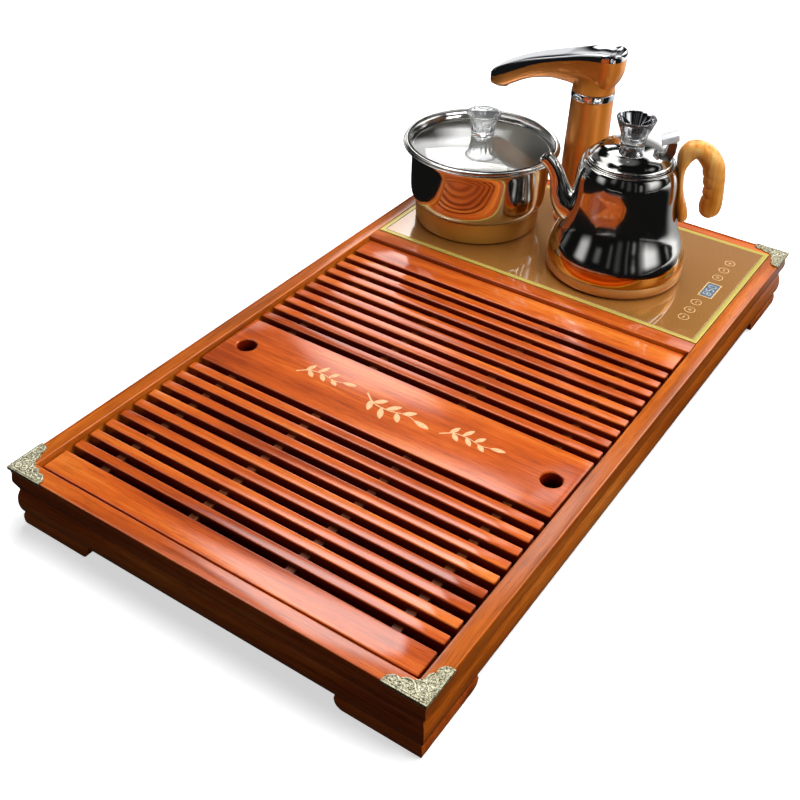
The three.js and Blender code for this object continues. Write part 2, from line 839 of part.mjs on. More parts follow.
const crownSteps = 4;
const crown = [];
for (let i = 0; i <= crownSteps; i += 1) {
  const share = 1 - i / crownSteps;
  crown.push([glassEdge * share, lidLow + potLidCrown * (1 - share * share)]);
}
add(potLid, "pot_lid_glass", "clear", turned([
  ...crown.slice().reverse(),
  ...crown.map(([r, z]) => [r, z + potLidThickness]),
]));
const potKnobLow = lidLow + potLidCrown + potLidThickness + seatGap;
add(potLid, "pot_lid_knob", "clear", knob(potKnobHeight - potLidCrown, potKnobLow));

// Kettle, built with its spout along -X and its handle along +X, then turned on its axis.
const kettle = new THREE.Group();
kettle.position.set(kettleX, kettleY, glassTop + seatGap);
kettle.rotation.z = rad(kettleAngle);
root.add(kettle);
const kettleBaseShares = [[0, 0], [0.9, 0], [0.965, 0.1], [1, 0.35], [1, 0.65], [0.975, 1], [0.9, 1], [0.9, 0.15], [0, 0.15]];
add(kettle, "kettle_base", "baseGold", turned(
  kettleBaseShares.map(([r, z]) => [r * kettleBaseRadius, z * kettleBaseHeight]),
));
const kettleFloor = kettleBaseHeight + seatGap;
const flare = kettleSkirtShare * kettleBaseRadius - kettleWaistRadius;
const kettleShell = [
  [1, 0], [0.93, 0.06], [0.735, 0.17], [0.59, 0.253], [0.464, 0.336], [0.358, 0.415],
  [0.261, 0.488], [0.18, 0.62], [0.14, 0.75], [0.09, 0.85], [-0.04, 0.94],
].map(([share, z]) => [kettleWaistRadius + share * flare, kettleFloor + z * (kettleHeight - kettleFloor)]);
const kettleInner = kettleShell.slice().reverse().map(([r, z]) => [r - kettleWall, z]);
const seatRadius = kettleLidRadius + seatGap;
const mouthRadius = kettleLidRadius - 2 * kettleWall;
const kettleBodyProfile = [
  [0, kettleFloor],
  ...kettleShell,
  [kettleRimRadius, kettleHeight],
  [seatRadius, kettleHeight],
  [seatRadius, kettleHeight - kettleLidSeat],
  [mouthRadius, kettleHeight - kettleLidSeat],
  [mouthRadius, kettleHeight - kettleLidSeat - kettleWall],
  ...kettleInner.filter(([, z]) => z < kettleHeight - 2 * kettleLidSeat - kettleWall && z > kettleFloor + kettleWall),
  [kettleShell[0][0] - 2 * kettleWall, kettleFloor + kettleWall],
  [0, kettleFloor + kettleWall],
];
const cavityProfile = [
  [0, kettleFloor + kettleWall],
  [kettleShell[0][0] - 2 * kettleWall, kettleFloor + kettleWall],
  ...kettleShell.map(([r, z]) => [r - kettleWall, z]).filter(([, z]) => (
    z < kettleHeight - 2 * kettleLidSeat - kettleWall && z > kettleFloor + kettleWall
  )),
  [mouthRadius, kettleHeight - kettleLidSeat - kettleWall],
  [0, kettleHeight - kettleLidSeat - kettleWall],
];
// Spout stations: [reach share, height share, radius share between root and tip].
const spoutShares = [
  [0.45, 0.5, 1], [0.585, 0.528, 1], [0.684, 0.589, 0.84], [0.748, 0.657, 0.52],
  [0.792, 0.746, 0.21], [0.836, 0.841, 0.05], [0.905, 0.924, 0], [1, 0.99, 0.01],
];
const spoutStations = spoutShares.map(([out, up, size]) => [
  -out * (spoutReach - spoutTipRadius / 2),
  up * spoutTopHeight,
  spoutTipRadius + size * (spoutRootRadius - spoutTipRadius),
]);
const spoutSteps = 18;
const spoutSides = 16;
const spoutOuter = ovalSweep(spoutStations, null, spoutSteps, spoutSides, false);
const last = spoutStations[spoutStations.length - 1];
const before = spoutStations[spoutStations.length - 2];
const past = [2 * last[0] - before[0], 2 * last[1] - before[1], last[2]];
const spoutBore = ovalSweep(
  [...spoutStations, past].map(([out, up, size]) => [out, up, size - spoutWall]),
  null,
  spoutSteps + 2,
  spoutSides,
  false,
);
const kettleBody = toSolid(turned(kettleBodyProfile))
  .add(toSolid(spoutOuter))
  .subtract(toSolid(turned(cavityProfile)))
  .subtract(toSolid(spoutBore));
add(kettle, "kettle_body", "chrome", toGeometry(kettleBody));

// Radius of the kettle's wall at a height.
function kettleWallAt(height) {
  const upper = kettleShell.findIndex(([, z]) => z >= height);
  const [lowRadius, low] = kettleShell[upper - 1];
  const [highRadius, high] = kettleShell[upper];
  return lowRadius + ((height - low) / (high - low)) * (highRadius - lowRadius);
}

// Handle: its seat runs up the wall, [share of the kettle's height, half thickness share of the handle's width],
// then its loop hangs free, [share of the way from waist to reach, height share, half thickness share].
const handleSeatShares = [[0.529, 0.28], [0.606, 0.285], [0.689, 0.235], [0.779, 0.165], [0.869, 0.14], [0.943, 0.165]];
const handleLoopShares = [
  [0.048, 0.827, 0.245],
  [0.056, 0.887, 0.405],
  [0.145, 0.93, 0.513],
  [0.376, 0.945, 0.513],
  [0.547, 0.905, 0.513],
  [0.658, 0.85, 0.571],
  [0.728, 0.79, 0.571],
  [0.768, 0.7, 0.616],
  [0.779, 0.6, 0.616],
  [0.768, 0.52, 0.627],
  [0.759, 0.475, 0.542],
];
const handleSeat = handleSeatShares.map(([up, size]) => {
  const half = size * handleWidth;
  return [kettleWallAt(up * kettleHeight) + half + handleSeatGap, up * kettleHeight, half];
});
const handleLoop = handleLoopShares.map(([out, up, size]) => [
  kettleWaistRadius + out * (handleReach - kettleWaistRadius),
  up * handleTopHeight,
  size * handleWidth,
]);
const handleSteps = 34;
const handleSides = 12;
add(kettle, "kettle_handle", "bamboo", ovalSweep(
  [...handleSeat, ...handleLoop],
  handleWidth / 2,
  handleSteps,
  handleSides,
  true,
));

// Kettle lid with its knob and catch
const kettleLid = new THREE.Group();
kettle.add(kettleLid);
const kettleLidLow = kettleHeight - kettleLidSeat + seatGap;
const lidShares = [[1, 0], [1, 0.3], [0.95, 0.42], [0.7, 0.78], [0.4, 0.95], [0, 1]];
const lidRise = kettleLidSeat + kettleLidCrown;
const lidProfile = lidShares.map(([r, z]) => [r * kettleLidRadius, kettleLidLow + z * lidRise]);
const lidUnder = lidShares.slice(2).reverse().map(([r, z]) => (
  [r * (kettleLidRadius - kettleWall), kettleLidLow + z * lidRise - kettleWall]
));
const lidTurned = turned([...lidProfile, ...lidUnder, [kettleLidRadius - kettleWall, kettleLidLow]].concat([lidProfile[0]]));
const vents = [-1, 0, 1].map((side) => roundBar(
  -ventCircle * Math.cos(side * rad(ventSpread)),
  -ventCircle * Math.sin(side * rad(ventSpread)),
  ventRadius,
  kettleLidLow - overrun,
  kettleLidLow + lidRise + overrun,
  smallSides / 2,
));
add(kettleLid, "kettle_lid", "chrome", toGeometry(cut(lidTurned, ...vents)));
const kettleKnobLow = kettleLidLow + lidRise + seatGap;
add(kettleLid, "kettle_lid_knob", "clear", knob(knobHeight, kettleKnobLow));

// Catch outline in the handle's plane: [distance out share, height above the rim share].
const catchShares = [
  [0.79, 0.19],
  [0.92, 0.12],
  [0.94, 0.47],
  [0.955, 0.75],
  [1, 0.83],
  [0.86, 1],
  [0.64, 0.78],
  [0.67, 0.58],
  [0.8, 0.5],
];
const catchOutline = catchShares.map(([out, up]) => [out * catchReach, kettleHeight + up * catchTop]);
const catchBody = alongY(catchOutline, -catchThickness / 2, catchThickness / 2);
add(kettleLid, "kettle_lid_catch", "clear", outward(catchBody));

export default root;
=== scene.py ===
"""Gongfu tea tray: a lacquered slatted tray with a hob, a steel pot, a gooseneck kettle and a tap."""

import math

import bmesh
import bpy
import numpy as np
from mathutils import Matrix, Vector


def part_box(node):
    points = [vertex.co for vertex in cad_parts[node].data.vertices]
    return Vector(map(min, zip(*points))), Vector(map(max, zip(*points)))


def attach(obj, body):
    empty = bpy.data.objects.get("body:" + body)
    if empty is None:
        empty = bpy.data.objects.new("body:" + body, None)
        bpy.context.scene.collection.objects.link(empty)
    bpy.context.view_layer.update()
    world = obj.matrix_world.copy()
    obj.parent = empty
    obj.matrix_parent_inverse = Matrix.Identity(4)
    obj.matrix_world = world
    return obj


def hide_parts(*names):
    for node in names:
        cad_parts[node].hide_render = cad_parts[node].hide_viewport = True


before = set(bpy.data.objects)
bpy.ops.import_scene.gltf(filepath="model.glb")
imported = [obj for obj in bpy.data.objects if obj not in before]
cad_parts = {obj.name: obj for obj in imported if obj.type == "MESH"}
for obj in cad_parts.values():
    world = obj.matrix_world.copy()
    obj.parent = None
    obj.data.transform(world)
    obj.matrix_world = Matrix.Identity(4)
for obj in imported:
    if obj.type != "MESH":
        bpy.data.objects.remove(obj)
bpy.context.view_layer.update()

MM = 0.001
# Gap in millimetres that the CAD model leaves between neighbouring pieces.
CLEAR = 0.3


# ---- Shapes -------------------------------------------------------------------------------


def soften(corners, cuts, steps=5):
    """Each corner of a closed outline becomes a parabola that leaves its two sides one cut length away."""
    here = np.asarray(corners, float)
    cut = np.broadcast_to(np.asarray(cuts, float), len(here))[:, None]
    back = np.roll(here, 1, axis=0) - here
    ahead = np.roll(here, -1, axis=0) - here
    start = here + cut * back / np.linalg.norm(back, axis=1, keepdims=True)
    end = here + cut * ahead / np.linalg.norm(ahead, axis=1, keepdims=True)
    t = np.linspace(0, 1, steps)[None, :, None]
    bend = (1 - t) ** 2 * start[:, None] + 2 * t * (1 - t) * here[:, None] + t**2 * end[:, None]
    return bend.reshape(-1, here.shape[1])


def through(points, count):
    """A curve through the points: each span is a cubic, its end slopes half the step between neighbours."""
    p = np.asarray(points, float)
    padded = np.vstack([2 * p[0] - p[1], p, 2 * p[-1] - p[-2]])
    at = np.linspace(0, len(p) - 1, count)
    span = np.minimum(at.astype(int), len(p) - 2)
    t = (at - span)[:, None]
    a, b, c, d = (padded[span + i] for i in range(4))
    cubic = (3 * b - a - 3 * c + d) * t**3
    return 0.5 * (2 * b + (c - a) * t + (2 * a - 5 * b + 4 * c - d) * t**2 + cubic)


def turned(profile, centre=(0, 0), base=0, sides=96, flutes=0, flute_depth=None):
    """Every (r, z) of the profile runs round a circle: x = cx + r cos a, y = cy + r sin a, z = base + z.
    Flutes make r smaller by their depth times half of one plus the cosine of (flutes times a)."""
    profile = np.asarray(profile, float)
    a = np.linspace(0, 2 * np.pi, sides, endpoint=False)
    r, z = profile.T[:, :, None]
    if flutes:
        r = r - np.asarray(flute_depth, float)[:, None] * (0.5 + 0.5 * np.cos(flutes * a))
    x = centre[0] + r * np.cos(a)
    y = centre[1] + r * np.sin(a)
    return np.stack([x, y, base + z + 0 * x], axis=-1)


def capped(grid):
    """A grid of rings gets one more ring at each end, drawn together to the mean of the end ring."""
    first = np.broadcast_to(grid[:1].mean(axis=1, keepdims=True), grid[:1].shape)
    last = np.broadcast_to(grid[-1:].mean(axis=1, keepdims=True), grid[-1:].shape)
    return np.concatenate([first, grid, last])


def swept(path, right, up, sizes, section):
    """At every point of a path a closed section (u, v) is laid out: point + right u size + up v size."""
    path, right, up = (np.asarray(v, float)[:, None, :] for v in (path, right, up))
    sizes = np.asarray(sizes, float).reshape(len(path), 1, -1)
    u = (section[:, 0] * sizes[..., 0])[..., None]
    v = (section[:, 1] * sizes[..., -1])[..., None]
    return path + right * u + up * v


def circle(count):
    """A unit circle as count points."""
    a = np.linspace(0, 2 * np.pi, count, endpoint=False)
    return np.stack([np.cos(a), np.sin(a)], axis=-1)


def spun(grid, degrees, centre=(0, 0)):
    """The points turned about an upright axis through the centre: x cos a - y sin a, x sin a + y cos a."""
    a = math.radians(degrees)
    turn = np.array([[math.cos(a), math.sin(a), 0], [-math.sin(a), math.cos(a), 0], [0, 0, 1]])
    return grid @ turn + np.array([centre[0], centre[1], 0])


def quads(rows, columns, close_rows=False, close_columns=True):
    """The four corner numbers of every cell of a grid, going round where it closes."""
    index = np.arange(rows * columns).reshape(rows, columns)
    if close_rows:
        index = np.vstack([index, index[:1]])
    if close_columns:
        index = np.hstack([index, index[:, :1]])
    cells = [index[:-1, :-1], index[:-1, 1:], index[1:, 1:], index[1:, :-1]]
    return np.stack(cells, axis=-1).reshape(-1, 4)


def mesh_from(name, grids, close_rows=False, close_columns=True, crisp=32, closed=True):
    """One mesh from grids in millimetres: doubles merged, faces out, edges crisp past an angle."""
    grids = grids if isinstance(grids, list) else [grids]
    points = []
    faces = []
    offset = 0
    for grid in grids:
        rows, columns = grid.shape[:2]
        points.append(grid.reshape(-1, 3) * MM)
        faces.append(quads(rows, columns, close_rows, close_columns) + offset)
        offset += rows * columns
    mesh = bpy.data.meshes.new(name)
    mesh.from_pydata(np.concatenate(points), [], np.concatenate(faces).tolist())
    work = bmesh.new()
    work.from_mesh(mesh)
    bmesh.ops.remove_doubles(work, verts=work.verts, dist=2e-6)
    bmesh.ops.dissolve_degenerate(work, edges=work.edges, dist=1e-7)
    if closed:
        bmesh.ops.recalc_face_normals(work, faces=work.faces)
    work.to_mesh(mesh)
    work.free()
    mesh.shade_smooth()
    mesh.set_sharp_from_angle(angle=math.radians(crisp))
    return mesh


def piece(name, mesh, finish, body, stands_for=()):
    """Puts a mesh into the scene with its finish, on its body, in place of the solids that it stands for."""
    thing = bpy.data.objects.new(name, mesh)
    bpy.context.scene.collection.objects.link(thing)
    mesh.materials.clear()
    mesh.materials.append(finish)
    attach(thing, body)
    if stands_for:
        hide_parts(*stands_for)
    return thing


def drilled(mesh, cutters):
    """The mesh less each cutter's volume, as a new mesh."""
    base = bpy.data.objects.new("work", mesh)
    bpy.context.scene.collection.objects.link(base)
    tools = []
    for cutter in cutters:
        tool = bpy.data.objects.new("tool", cutter)
        bpy.context.scene.collection.objects.link(tool)
        cut = base.modifiers.new("cut", "BOOLEAN")
        cut.operation = "DIFFERENCE"
        cut.solver = "EXACT"
        cut.object = tool
        tools.append(tool)
    bpy.context.view_layer.update()
    evaluated = base.evaluated_get(bpy.context.evaluated_depsgraph_get())
    result = bpy.data.meshes.new_from_object(evaluated)
    result.name = mesh.name
    for thing in [base, *tools]:
        bpy.data.objects.remove(thing)
    result.shade_smooth()
    result.set_sharp_from_angle(angle=math.radians(32))
    return result


def corners_of(node):
    """A solid's lowest and highest corner in millimetres."""
    low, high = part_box(node)
    return np.array(low) / MM, np.array(high) / MM


# ---- Finishes -----------------------------------------------------------------------------


def linear(code):
    """An sRGB hex colour as linear red, green, blue and alpha."""
    part = np.array([int(code[i : i + 2], 16) for i in (0, 2, 4)]) / 255
    bright = ((part + 0.055) / 1.055) ** 2.4
    return (*np.where(part <= 0.04045, part / 12.92, bright).tolist(), 1.0)


def add(tree, kind, settings=None, inputs=None):
    """Adds a node. An input takes a value or the socket that feeds it; stops are a ramp's (place, colour)."""
    node = tree.nodes.new("ShaderNode" + kind)
    for name, value in (settings or {}).items():
        if name == "stops":
            ramp = node.color_ramp
            while len(ramp.elements) < len(value):
                ramp.elements.new(0.5)
            for element, (place, colour) in zip(ramp.elements, value):
                element.position = place
                element.color = linear(colour)
        else:
            setattr(node, name, value)
    for name, value in (inputs or {}).items():
        socket = node.inputs[name]
        if isinstance(value, bpy.types.NodeSocket):
            tree.links.new(value, socket)
        else:
            socket.default_value = value
    return node


def new_finish(name):
    """A material with its node tree and its shader."""
    material = bpy.data.materials.new(name)
    material.use_nodes = True
    tree = material.node_tree
    return material, tree, tree.nodes["Principled BSDF"]


def shader_set(shader, values):
    """Sets the shader's sockets by their printed names."""
    for key, value in values.items():
        shader.inputs[key].default_value = value


def lacquered_rosewood(name, grain, light, mid, dark, shaded_flank=None, coat=1.0):
    """Rosewood-like hardwood, planed, stained orange red and sprayed with gloss lacquer: fine dark streaks
    run along the grain, tone drifts from board to board, and the lacquer adds a clear sheen. A height in
    metres, where given, says where painted shade starts: below it the sides under the top arris are painted
    darker, down to a deep red-brown, as the shade in the gaps between the boards."""
    material, tree, shader = new_finish(name)
    place = add(tree, "TexCoord").outputs["Object"]
    along = {"x": (1, 0, 0), "y": (0, 1, 0)}[grain]
    # Streaks are about 3 mm wide and 90 mm long, tone patches 25 mm wide and 250 mm long.
    stretch = [tuple(l if a else w for a in along) for w, l in ((330, 11), (40, 4), (900, 45))]
    streaks, patches, pores = (
        add(tree, "Mapping", {}, {"Vector": place, "Scale": scale}).outputs["Vector"] for scale in stretch
    )
    swirl = add(tree, "TexNoise", {}, {"Vector": patches, "Scale": 1.0, "Detail": 3.0, "Roughness": 0.55})
    fine = add(
        tree,
        "TexNoise",
        {},
        {"Vector": streaks, "Scale": 1.0, "Detail": 5.0, "Roughness": 0.62, "Distortion": 0.6},
    )
    pore = add(tree, "TexNoise", {}, {"Vector": pores, "Scale": 1.0, "Detail": 3.0, "Roughness": 0.7})
    blend = add(
        tree,
        "Mix",
        {"data_type": "FLOAT"},
        {0: 0.3, 2: swirl.outputs["Fac"], 3: fine.outputs["Fac"]},
    )
    tone = add(
        tree,
        "ValToRGB",
        {"stops": [(0.34, dark), (0.5, mid), (0.66, light)]},
        {"Fac": blend.outputs[0]},
    )
    dots = add(
        tree,
        "ValToRGB",
        {"stops": [(0.36, "8a6a5a"), (0.5, "ffffff")]},
        {"Fac": pore.outputs["Fac"]},
    )
    colour = add(
        tree,
        "Mix",
        {"data_type": "RGBA", "blend_type": "MULTIPLY"},
        {0: 0.45, 6: tone.outputs["Color"], 7: dots.outputs["Color"]},
    )
    if shaded_flank:
        # Painted shade on the sides under the top arris: the colour darkens towards the bottom of the gaps
        # between boards, and above the given height it stays as it is.
        height = add(tree, "SeparateXYZ", {}, {0: place}).outputs["Z"]
        depth = add(tree, "MapRange", {}, {"Value": height, "From Min": shaded_flank - 0.014, "From Max": shaded_flank})
        gap_shade = add(
            tree,
            "ValToRGB",
            {"stops": [(0.1, "5a2c1e"), (0.6, "9c5c44"), (0.94, "b87860"), (0.98, "ffffff")]},
            {"Fac": depth.outputs[0]},
        )
        mixing = {0: 1.0, 6: colour.outputs[2], 7: gap_shade.outputs["Color"]}
        colour = add(tree, "Mix", {"data_type": "RGBA", "blend_type": "MULTIPLY"}, mixing)
    tree.links.new(colour.outputs[2], shader.inputs["Base Color"])
    bump = add(tree, "Bump", {}, {"Strength": 0.12, "Distance": 0.0002, "Height": pore.outputs["Fac"]})
    tree.links.new(bump.outputs["Normal"], shader.inputs["Normal"])
    shader_set(shader, {"Roughness": 0.38, "Coat Weight": coat, "Coat Roughness": 0.09, "Coat IOR": 1.57})
    shader_set(shader, {"Specular IOR Level": 0.15})
    return material


def plain_board():
    """Plywood base board with one thin coat of brown lacquer: flat grain, low sheen."""
    material, tree, shader = new_finish("Brown lacquered plywood")
    place = add(tree, "TexCoord").outputs["Object"]
    stretch = add(tree, "Mapping", {}, {"Vector": place, "Scale": (120, 9, 120)})
    grain = add(tree, "TexNoise", {}, {"Vector": stretch.outputs["Vector"], "Scale": 1.0, "Detail": 5.0})
    tone = add(
        tree,
        "ValToRGB",
        {"stops": [(0.35, "4a1c0c"), (0.65, "7c3616")]},
        {"Fac": grain.outputs["Fac"]},
    )
    tree.links.new(tone.outputs["Color"], shader.inputs["Base Color"])
    shader_set(shader, {"Roughness": 0.45, "Coat Weight": 0.3, "Coat Roughness": 0.3})
    return material


def moulded(name, colour, roughness, spark=0.08):
    """Injection-moulded ABS: even colour with a fine spark-eroded grain of about half a millimetre."""
    material, tree, shader = new_finish(name)
    place = add(tree, "TexCoord").outputs["Object"]
    grain = add(tree, "TexNoise", {}, {"Vector": place, "Scale": 1800.0, "Detail": 2.0})
    bump = add(tree, "Bump", {}, {"Strength": spark, "Distance": 0.0002, "Height": grain.outputs["Fac"]})
    tree.links.new(bump.outputs["Normal"], shader.inputs["Normal"])
    shader_set(shader, {"Base Color": linear(colour), "Roughness": roughness})
    return material


def metal(name, colour, roughness, drift=0.05, scale=30.0, metallic=1.0, worn=None):
    """A metal surface: roughness drifts by a few hundredths over patches, as polishing or lacquer leaves it.
    Tarnish or lacquer lets less than all the light come back from the metal itself."""
    material, tree, shader = new_finish(name)
    place = add(tree, "TexCoord").outputs["Object"]
    cloud = add(tree, "TexNoise", {}, {"Vector": place, "Scale": scale, "Detail": 4.0})
    rough = add(
        tree,
        "MapRange",
        {},
        {"Value": cloud.outputs["Fac"], "To Min": max(roughness - drift, 0.0), "To Max": roughness + drift},
    )
    tree.links.new(rough.outputs["Result"], shader.inputs["Roughness"])
    shader_set(shader, {"Metallic": metallic})
    if worn:
        tone = add(
            tree,
            "ValToRGB",
            {"stops": [(0.38, worn), (0.56, colour)]},
            {"Fac": cloud.outputs["Fac"]},
        )
        tree.links.new(tone.outputs["Color"], shader.inputs["Base Color"])
    else:
        shader_set(shader, {"Base Color": linear(colour)})
    return material


def satin_lacquer(name, colour, metallic, roughness):
    """Metal under a satin tinted lacquer: part of the light comes back from pigment, part from the metal."""
    material, tree, shader = new_finish(name)
    place = add(tree, "TexCoord").outputs["Object"]
    cloud = add(tree, "TexNoise", {}, {"Vector": place, "Scale": 50.0, "Detail": 4.0})
    limits = {"Value": cloud.outputs["Fac"], "To Min": roughness - 0.05, "To Max": roughness + 0.05}
    rough = add(tree, "MapRange", {}, limits)
    tree.links.new(rough.outputs["Result"], shader.inputs["Roughness"])
    shader_set(shader, {"Base Color": linear(colour), "Metallic": metallic})
    shader_set(shader, {"Coat Weight": 0.3, "Coat Roughness": 0.2})
    return material


def gold_glass():
    """Tempered glass, back-printed in champagne gold with a fine fleck: clear face, satin gold below."""
    material, tree, shader = new_finish("Gold back-printed glass")
    place = add(tree, "TexCoord").outputs["Object"]
    fleck = add(tree, "TexNoise", {}, {"Vector": place, "Scale": 900.0, "Detail": 2.0})
    tone = add(
        tree,
        "ValToRGB",
        {"stops": [(0.3, "a8702f"), (0.7, "bf8644")]},
        {"Fac": fleck.outputs["Fac"]},
    )
    tree.links.new(tone.outputs["Color"], shader.inputs["Base Color"])
    shader_set(
        shader,
        {"Metallic": 0.55, "Roughness": 0.35, "Coat Weight": 1.0, "Coat Roughness": 0.015, "Coat IOR": 1.9},
    )
    return material


def clear(name, tint="ffffff", roughness=0.0, ior=1.5, cloud=0.0):
    """Clear glass or acrylic, polished: the light comes through, all but the share that a haze sends back."""
    material, tree, shader = new_finish(name)
    shader_set(
        shader,
        {"Base Color": linear(tint), "Roughness": roughness, "IOR": ior, "Transmission Weight": 1 - cloud},
    )
    return material


def bamboo_look():
    """Heat-proof plastic with a bamboo print under gloss: long yellow-orange fibres with browner drifts."""
    material, tree, shader = new_finish("Bamboo-look plastic")
    place = add(tree, "TexCoord").outputs["Object"]
    stretch = add(tree, "Mapping", {}, {"Vector": place, "Scale": (260, 260, 22)})
    fibre = add(
        tree,
        "TexNoise",
        {},
        {"Vector": stretch.outputs["Vector"], "Scale": 1.0, "Detail": 4.0, "Distortion": 0.4},
    )
    drift = add(tree, "TexNoise", {}, {"Vector": place, "Scale": 28.0, "Detail": 2.0})
    blend = add(
        tree,
        "Mix",
        {"data_type": "FLOAT"},
        {0: 0.5, 2: fibre.outputs["Fac"], 3: drift.outputs["Fac"]},
    )
    tone = add(
        tree,
        "ValToRGB",
        {"stops": [(0.36, "b5681c"), (0.5, "d98c35"), (0.64, "eab566")]},
        {"Fac": blend.outputs[0]},
    )
    tree.links.new(tone.outputs["Color"], shader.inputs["Base Color"])
    shader_set(shader, {"Roughness": 0.3, "Coat Weight": 0.6, "Coat Roughness": 0.1})
    return material


def painted(name, colour, roughness=0.5):
    """A thin print or inlay: even colour with a slight mottle."""
    material, tree, shader = new_finish(name)
    place = add(tree, "TexCoord").outputs["Object"]
    mottle = add(tree, "TexNoise", {}, {"Vector": place, "Scale": 400.0, "Detail": 2.0})
    shade = add(
        tree,
        "ValToRGB",
        {"stops": [(0.3, "d8d8d8"), (0.6, "ffffff")]},
        {"Fac": mottle.outputs["Fac"]},
    )
    tint = add(
        tree,
        "Mix",
        {"data_type": "RGBA", "blend_type": "MULTIPLY"},
        {0: 1.0, 6: linear(colour), 7: shade.outputs["Color"]},
    )
    tree.links.new(tint.outputs[2], shader.inputs["Base Color"])
    shader_set(shader, {"Roughness": roughness})
    return material


# The deck's boards get painted shade on their sides below 59.2 mm, darkest deep down in the gaps.
deck_wood = lacquered_rosewood("Lacquered rosewood across", "x", "dc7a2e", "bb5216", "84300a", 0.0592)
rail_wood_across = lacquered_rosewood("Lacquered rosewood rail across", "x", "dc7a30", "b65218", "86340a")
rail_wood_along = lacquered_rosewood("Lacquered rosewood rail along", "y", "d27a2e", "b55a14", "8c420c")
board_wood = plain_board()
# The battens under the slats take a darker colour than the deck boards above them.
batten_wood = lacquered_rosewood("Dark batten hardwood", "y", "743a1c", "4e240f", "2e1207", coat=0.1)
aged_brass = metal("Antique brass", "cac4a2", 0.42, 0.1, 900.0, 0.6, "36301f")
bright_brass = metal("Rubbed antique brass", "ece7cf", 0.3, 0.08, 700.0, 0.7, "86805f")
pan_plastic = moulded("Dark brown ABS", "1f120c", 0.42)
housing_plastic = moulded("Black ABS", "18181a", 0.5)
trim_gold = satin_lacquer("Yellow gold anodised aluminium", "cbb95c", 0.4, 0.3)
panel_gold = gold_glass()
copper_winding = metal("Varnished copper winding", "b8683c", 0.35, 0.08, 200.0)
tap_gold = satin_lacquer("Satin gold lacquered zinc", "f29438", 0.5, 0.3)
chrome = metal("Chrome plate", "e6e8ec", 0.05, 0.02)
steel = metal("Mirror-polished stainless steel", "d9d8d4", 0.085, 0.035, 45.0)
satin_steel = metal("Satin stainless steel", "bab8b2", 0.36, 0.05, 60.0)
base_gold = satin_lacquer("Satin gold lacquered steel", "d09c46", 0.4, 0.42)
lip_gold = satin_lacquer("Satin pale gold lacquered steel", "dfa05c", 0.55, 0.34)
mirror_gold = metal("Mirror gold plated steel", "d9a050", 0.1, 0.04, 30.0)
lid_glass = clear("Clear lid glass")
clear_acrylic = clear("Clear pressed acrylic", "f8fafc", 0.0, 1.49, 0.06)
milky_acrylic = clear("Milky acrylic", "e4e6ea", 0.2, 1.49, 0.75)
bamboo = bamboo_look()
cream_inlay = painted("Cream inlay", "dfae7e", 0.35)
dial_print = painted("Pale gold dial print", "dcb984", 0.4)
display_grey = painted("Grey display window", "66707a", 0.15)
display_segment = painted("Lit display segment", "aebccb", 0.3)


# ---- Tray frame ---------------------------------------------------------------------------


def rail_outline():
    """Rail section as (inset from the outer face, height): flat fascia, ovolo, fillet, then a full torus."""
    top = 64.0
    crown = [(0, top - 14.2), (0.3, top - 16.6), (1.3, top - 19.2), (2.5, top - 21.8), (3.5, top - 23.6)]
    torus = [
        (3.5, top - 25.3),
        (2.3, top - 28.0),
        (1.4, top - 31.0),
        (0.75, top - 34.5),
        (0.45, top - 38.5),
        (0.55, top - 42.0),
        (1.1, top - 45.4),
        (2.1, top - 48.4),
        (3.0, top - 50.0),
    ]
    outer = soften([(0, top), (0, top - 14.2), (15.5, top)], (1.4, 0, 0), 6)[:6]
    inner = soften([(15.5, top), (0, top), (15.5, top - 30)], (1.3, 0, 0), 6)[:6][::-1]
    return np.vstack([outer[::-1], through(crown, 13), through(torus, 25), [(15.5, top - 50)], inner[::-1]])


def rail_grid(length, side, angle):
    """The section laid along a rail whose ends are mitred: along = +-(half length - inset)."""
    outline = rail_outline()
    inset, height = outline.T
    share = np.array([-1.0, -0.5, 0.0, 0.5, 1.0])[:, None]
    along = share * (length / 2 - CLEAR / 2 - inset)
    grid = np.stack([-side + inset + 0 * along, along, height + 0 * along], axis=-1)
    return spun(capped(grid), angle)


for name, length, side, angle, wood in (
    ("rail_left", 727, 202, 0, rail_wood_along),
    ("rail_right", 727, 202, 180, rail_wood_along),
    ("rail_front", 404, 363.5, 90, rail_wood_across),
    ("rail_back", 404, 363.5, -90, rail_wood_across),
):
    mesh = mesh_from("moulded_" + name, rail_grid(length, side, angle), crisp=28)
    piece("moulded_" + name, mesh, wood, "tray", [name])


def bar_grid(outline, low, high, ease=1.2, notches=(), notch_top=None):
    """An outline (y, z) laid along x from low to high. Its ends are eased: the outline shrinks towards its
    middle by up to the ease over the last ease of length. In each notch its underside rises to the top."""
    middle = outline.mean(axis=0)
    out = np.sign(outline - middle) * np.minimum(1, np.abs(outline - middle) / ease)
    edge = ease * (1 - np.sin(np.linspace(0, np.pi / 2, 4)))
    start = np.stack([low + ease * (1 - np.cos(np.linspace(0, np.pi / 2, 4))), edge], axis=1)
    stations = [start]
    flags = [np.zeros(4)]
    for notch_low, notch_high in notches:
        stations.append(np.array([[notch_low, 0], [notch_low, 0], [notch_high, 0], [notch_high, 0]], float))
        flags.append(np.array([0, 1, 1, 0], float))
    end = start[::-1] * [[-1, 1]] + [[low + high, 0]]
    stations.append(end)
    flags.append(np.zeros(4))
    stations = np.vstack(stations)
    flags = np.concatenate(flags)
    shrink = stations[:, 1][:, None, None]
    ring = outline[None] - out[None] * shrink
    if notches:
        lifted = np.maximum(ring[..., 1], notch_top)
        ring = np.stack([ring[..., 0], np.where(flags[:, None] > 0, lifted, ring[..., 1])], axis=-1)
    x = np.broadcast_to(stations[:, 0][:, None], ring.shape[:2])
    return capped(np.concatenate([x[..., None], ring], axis=-1))


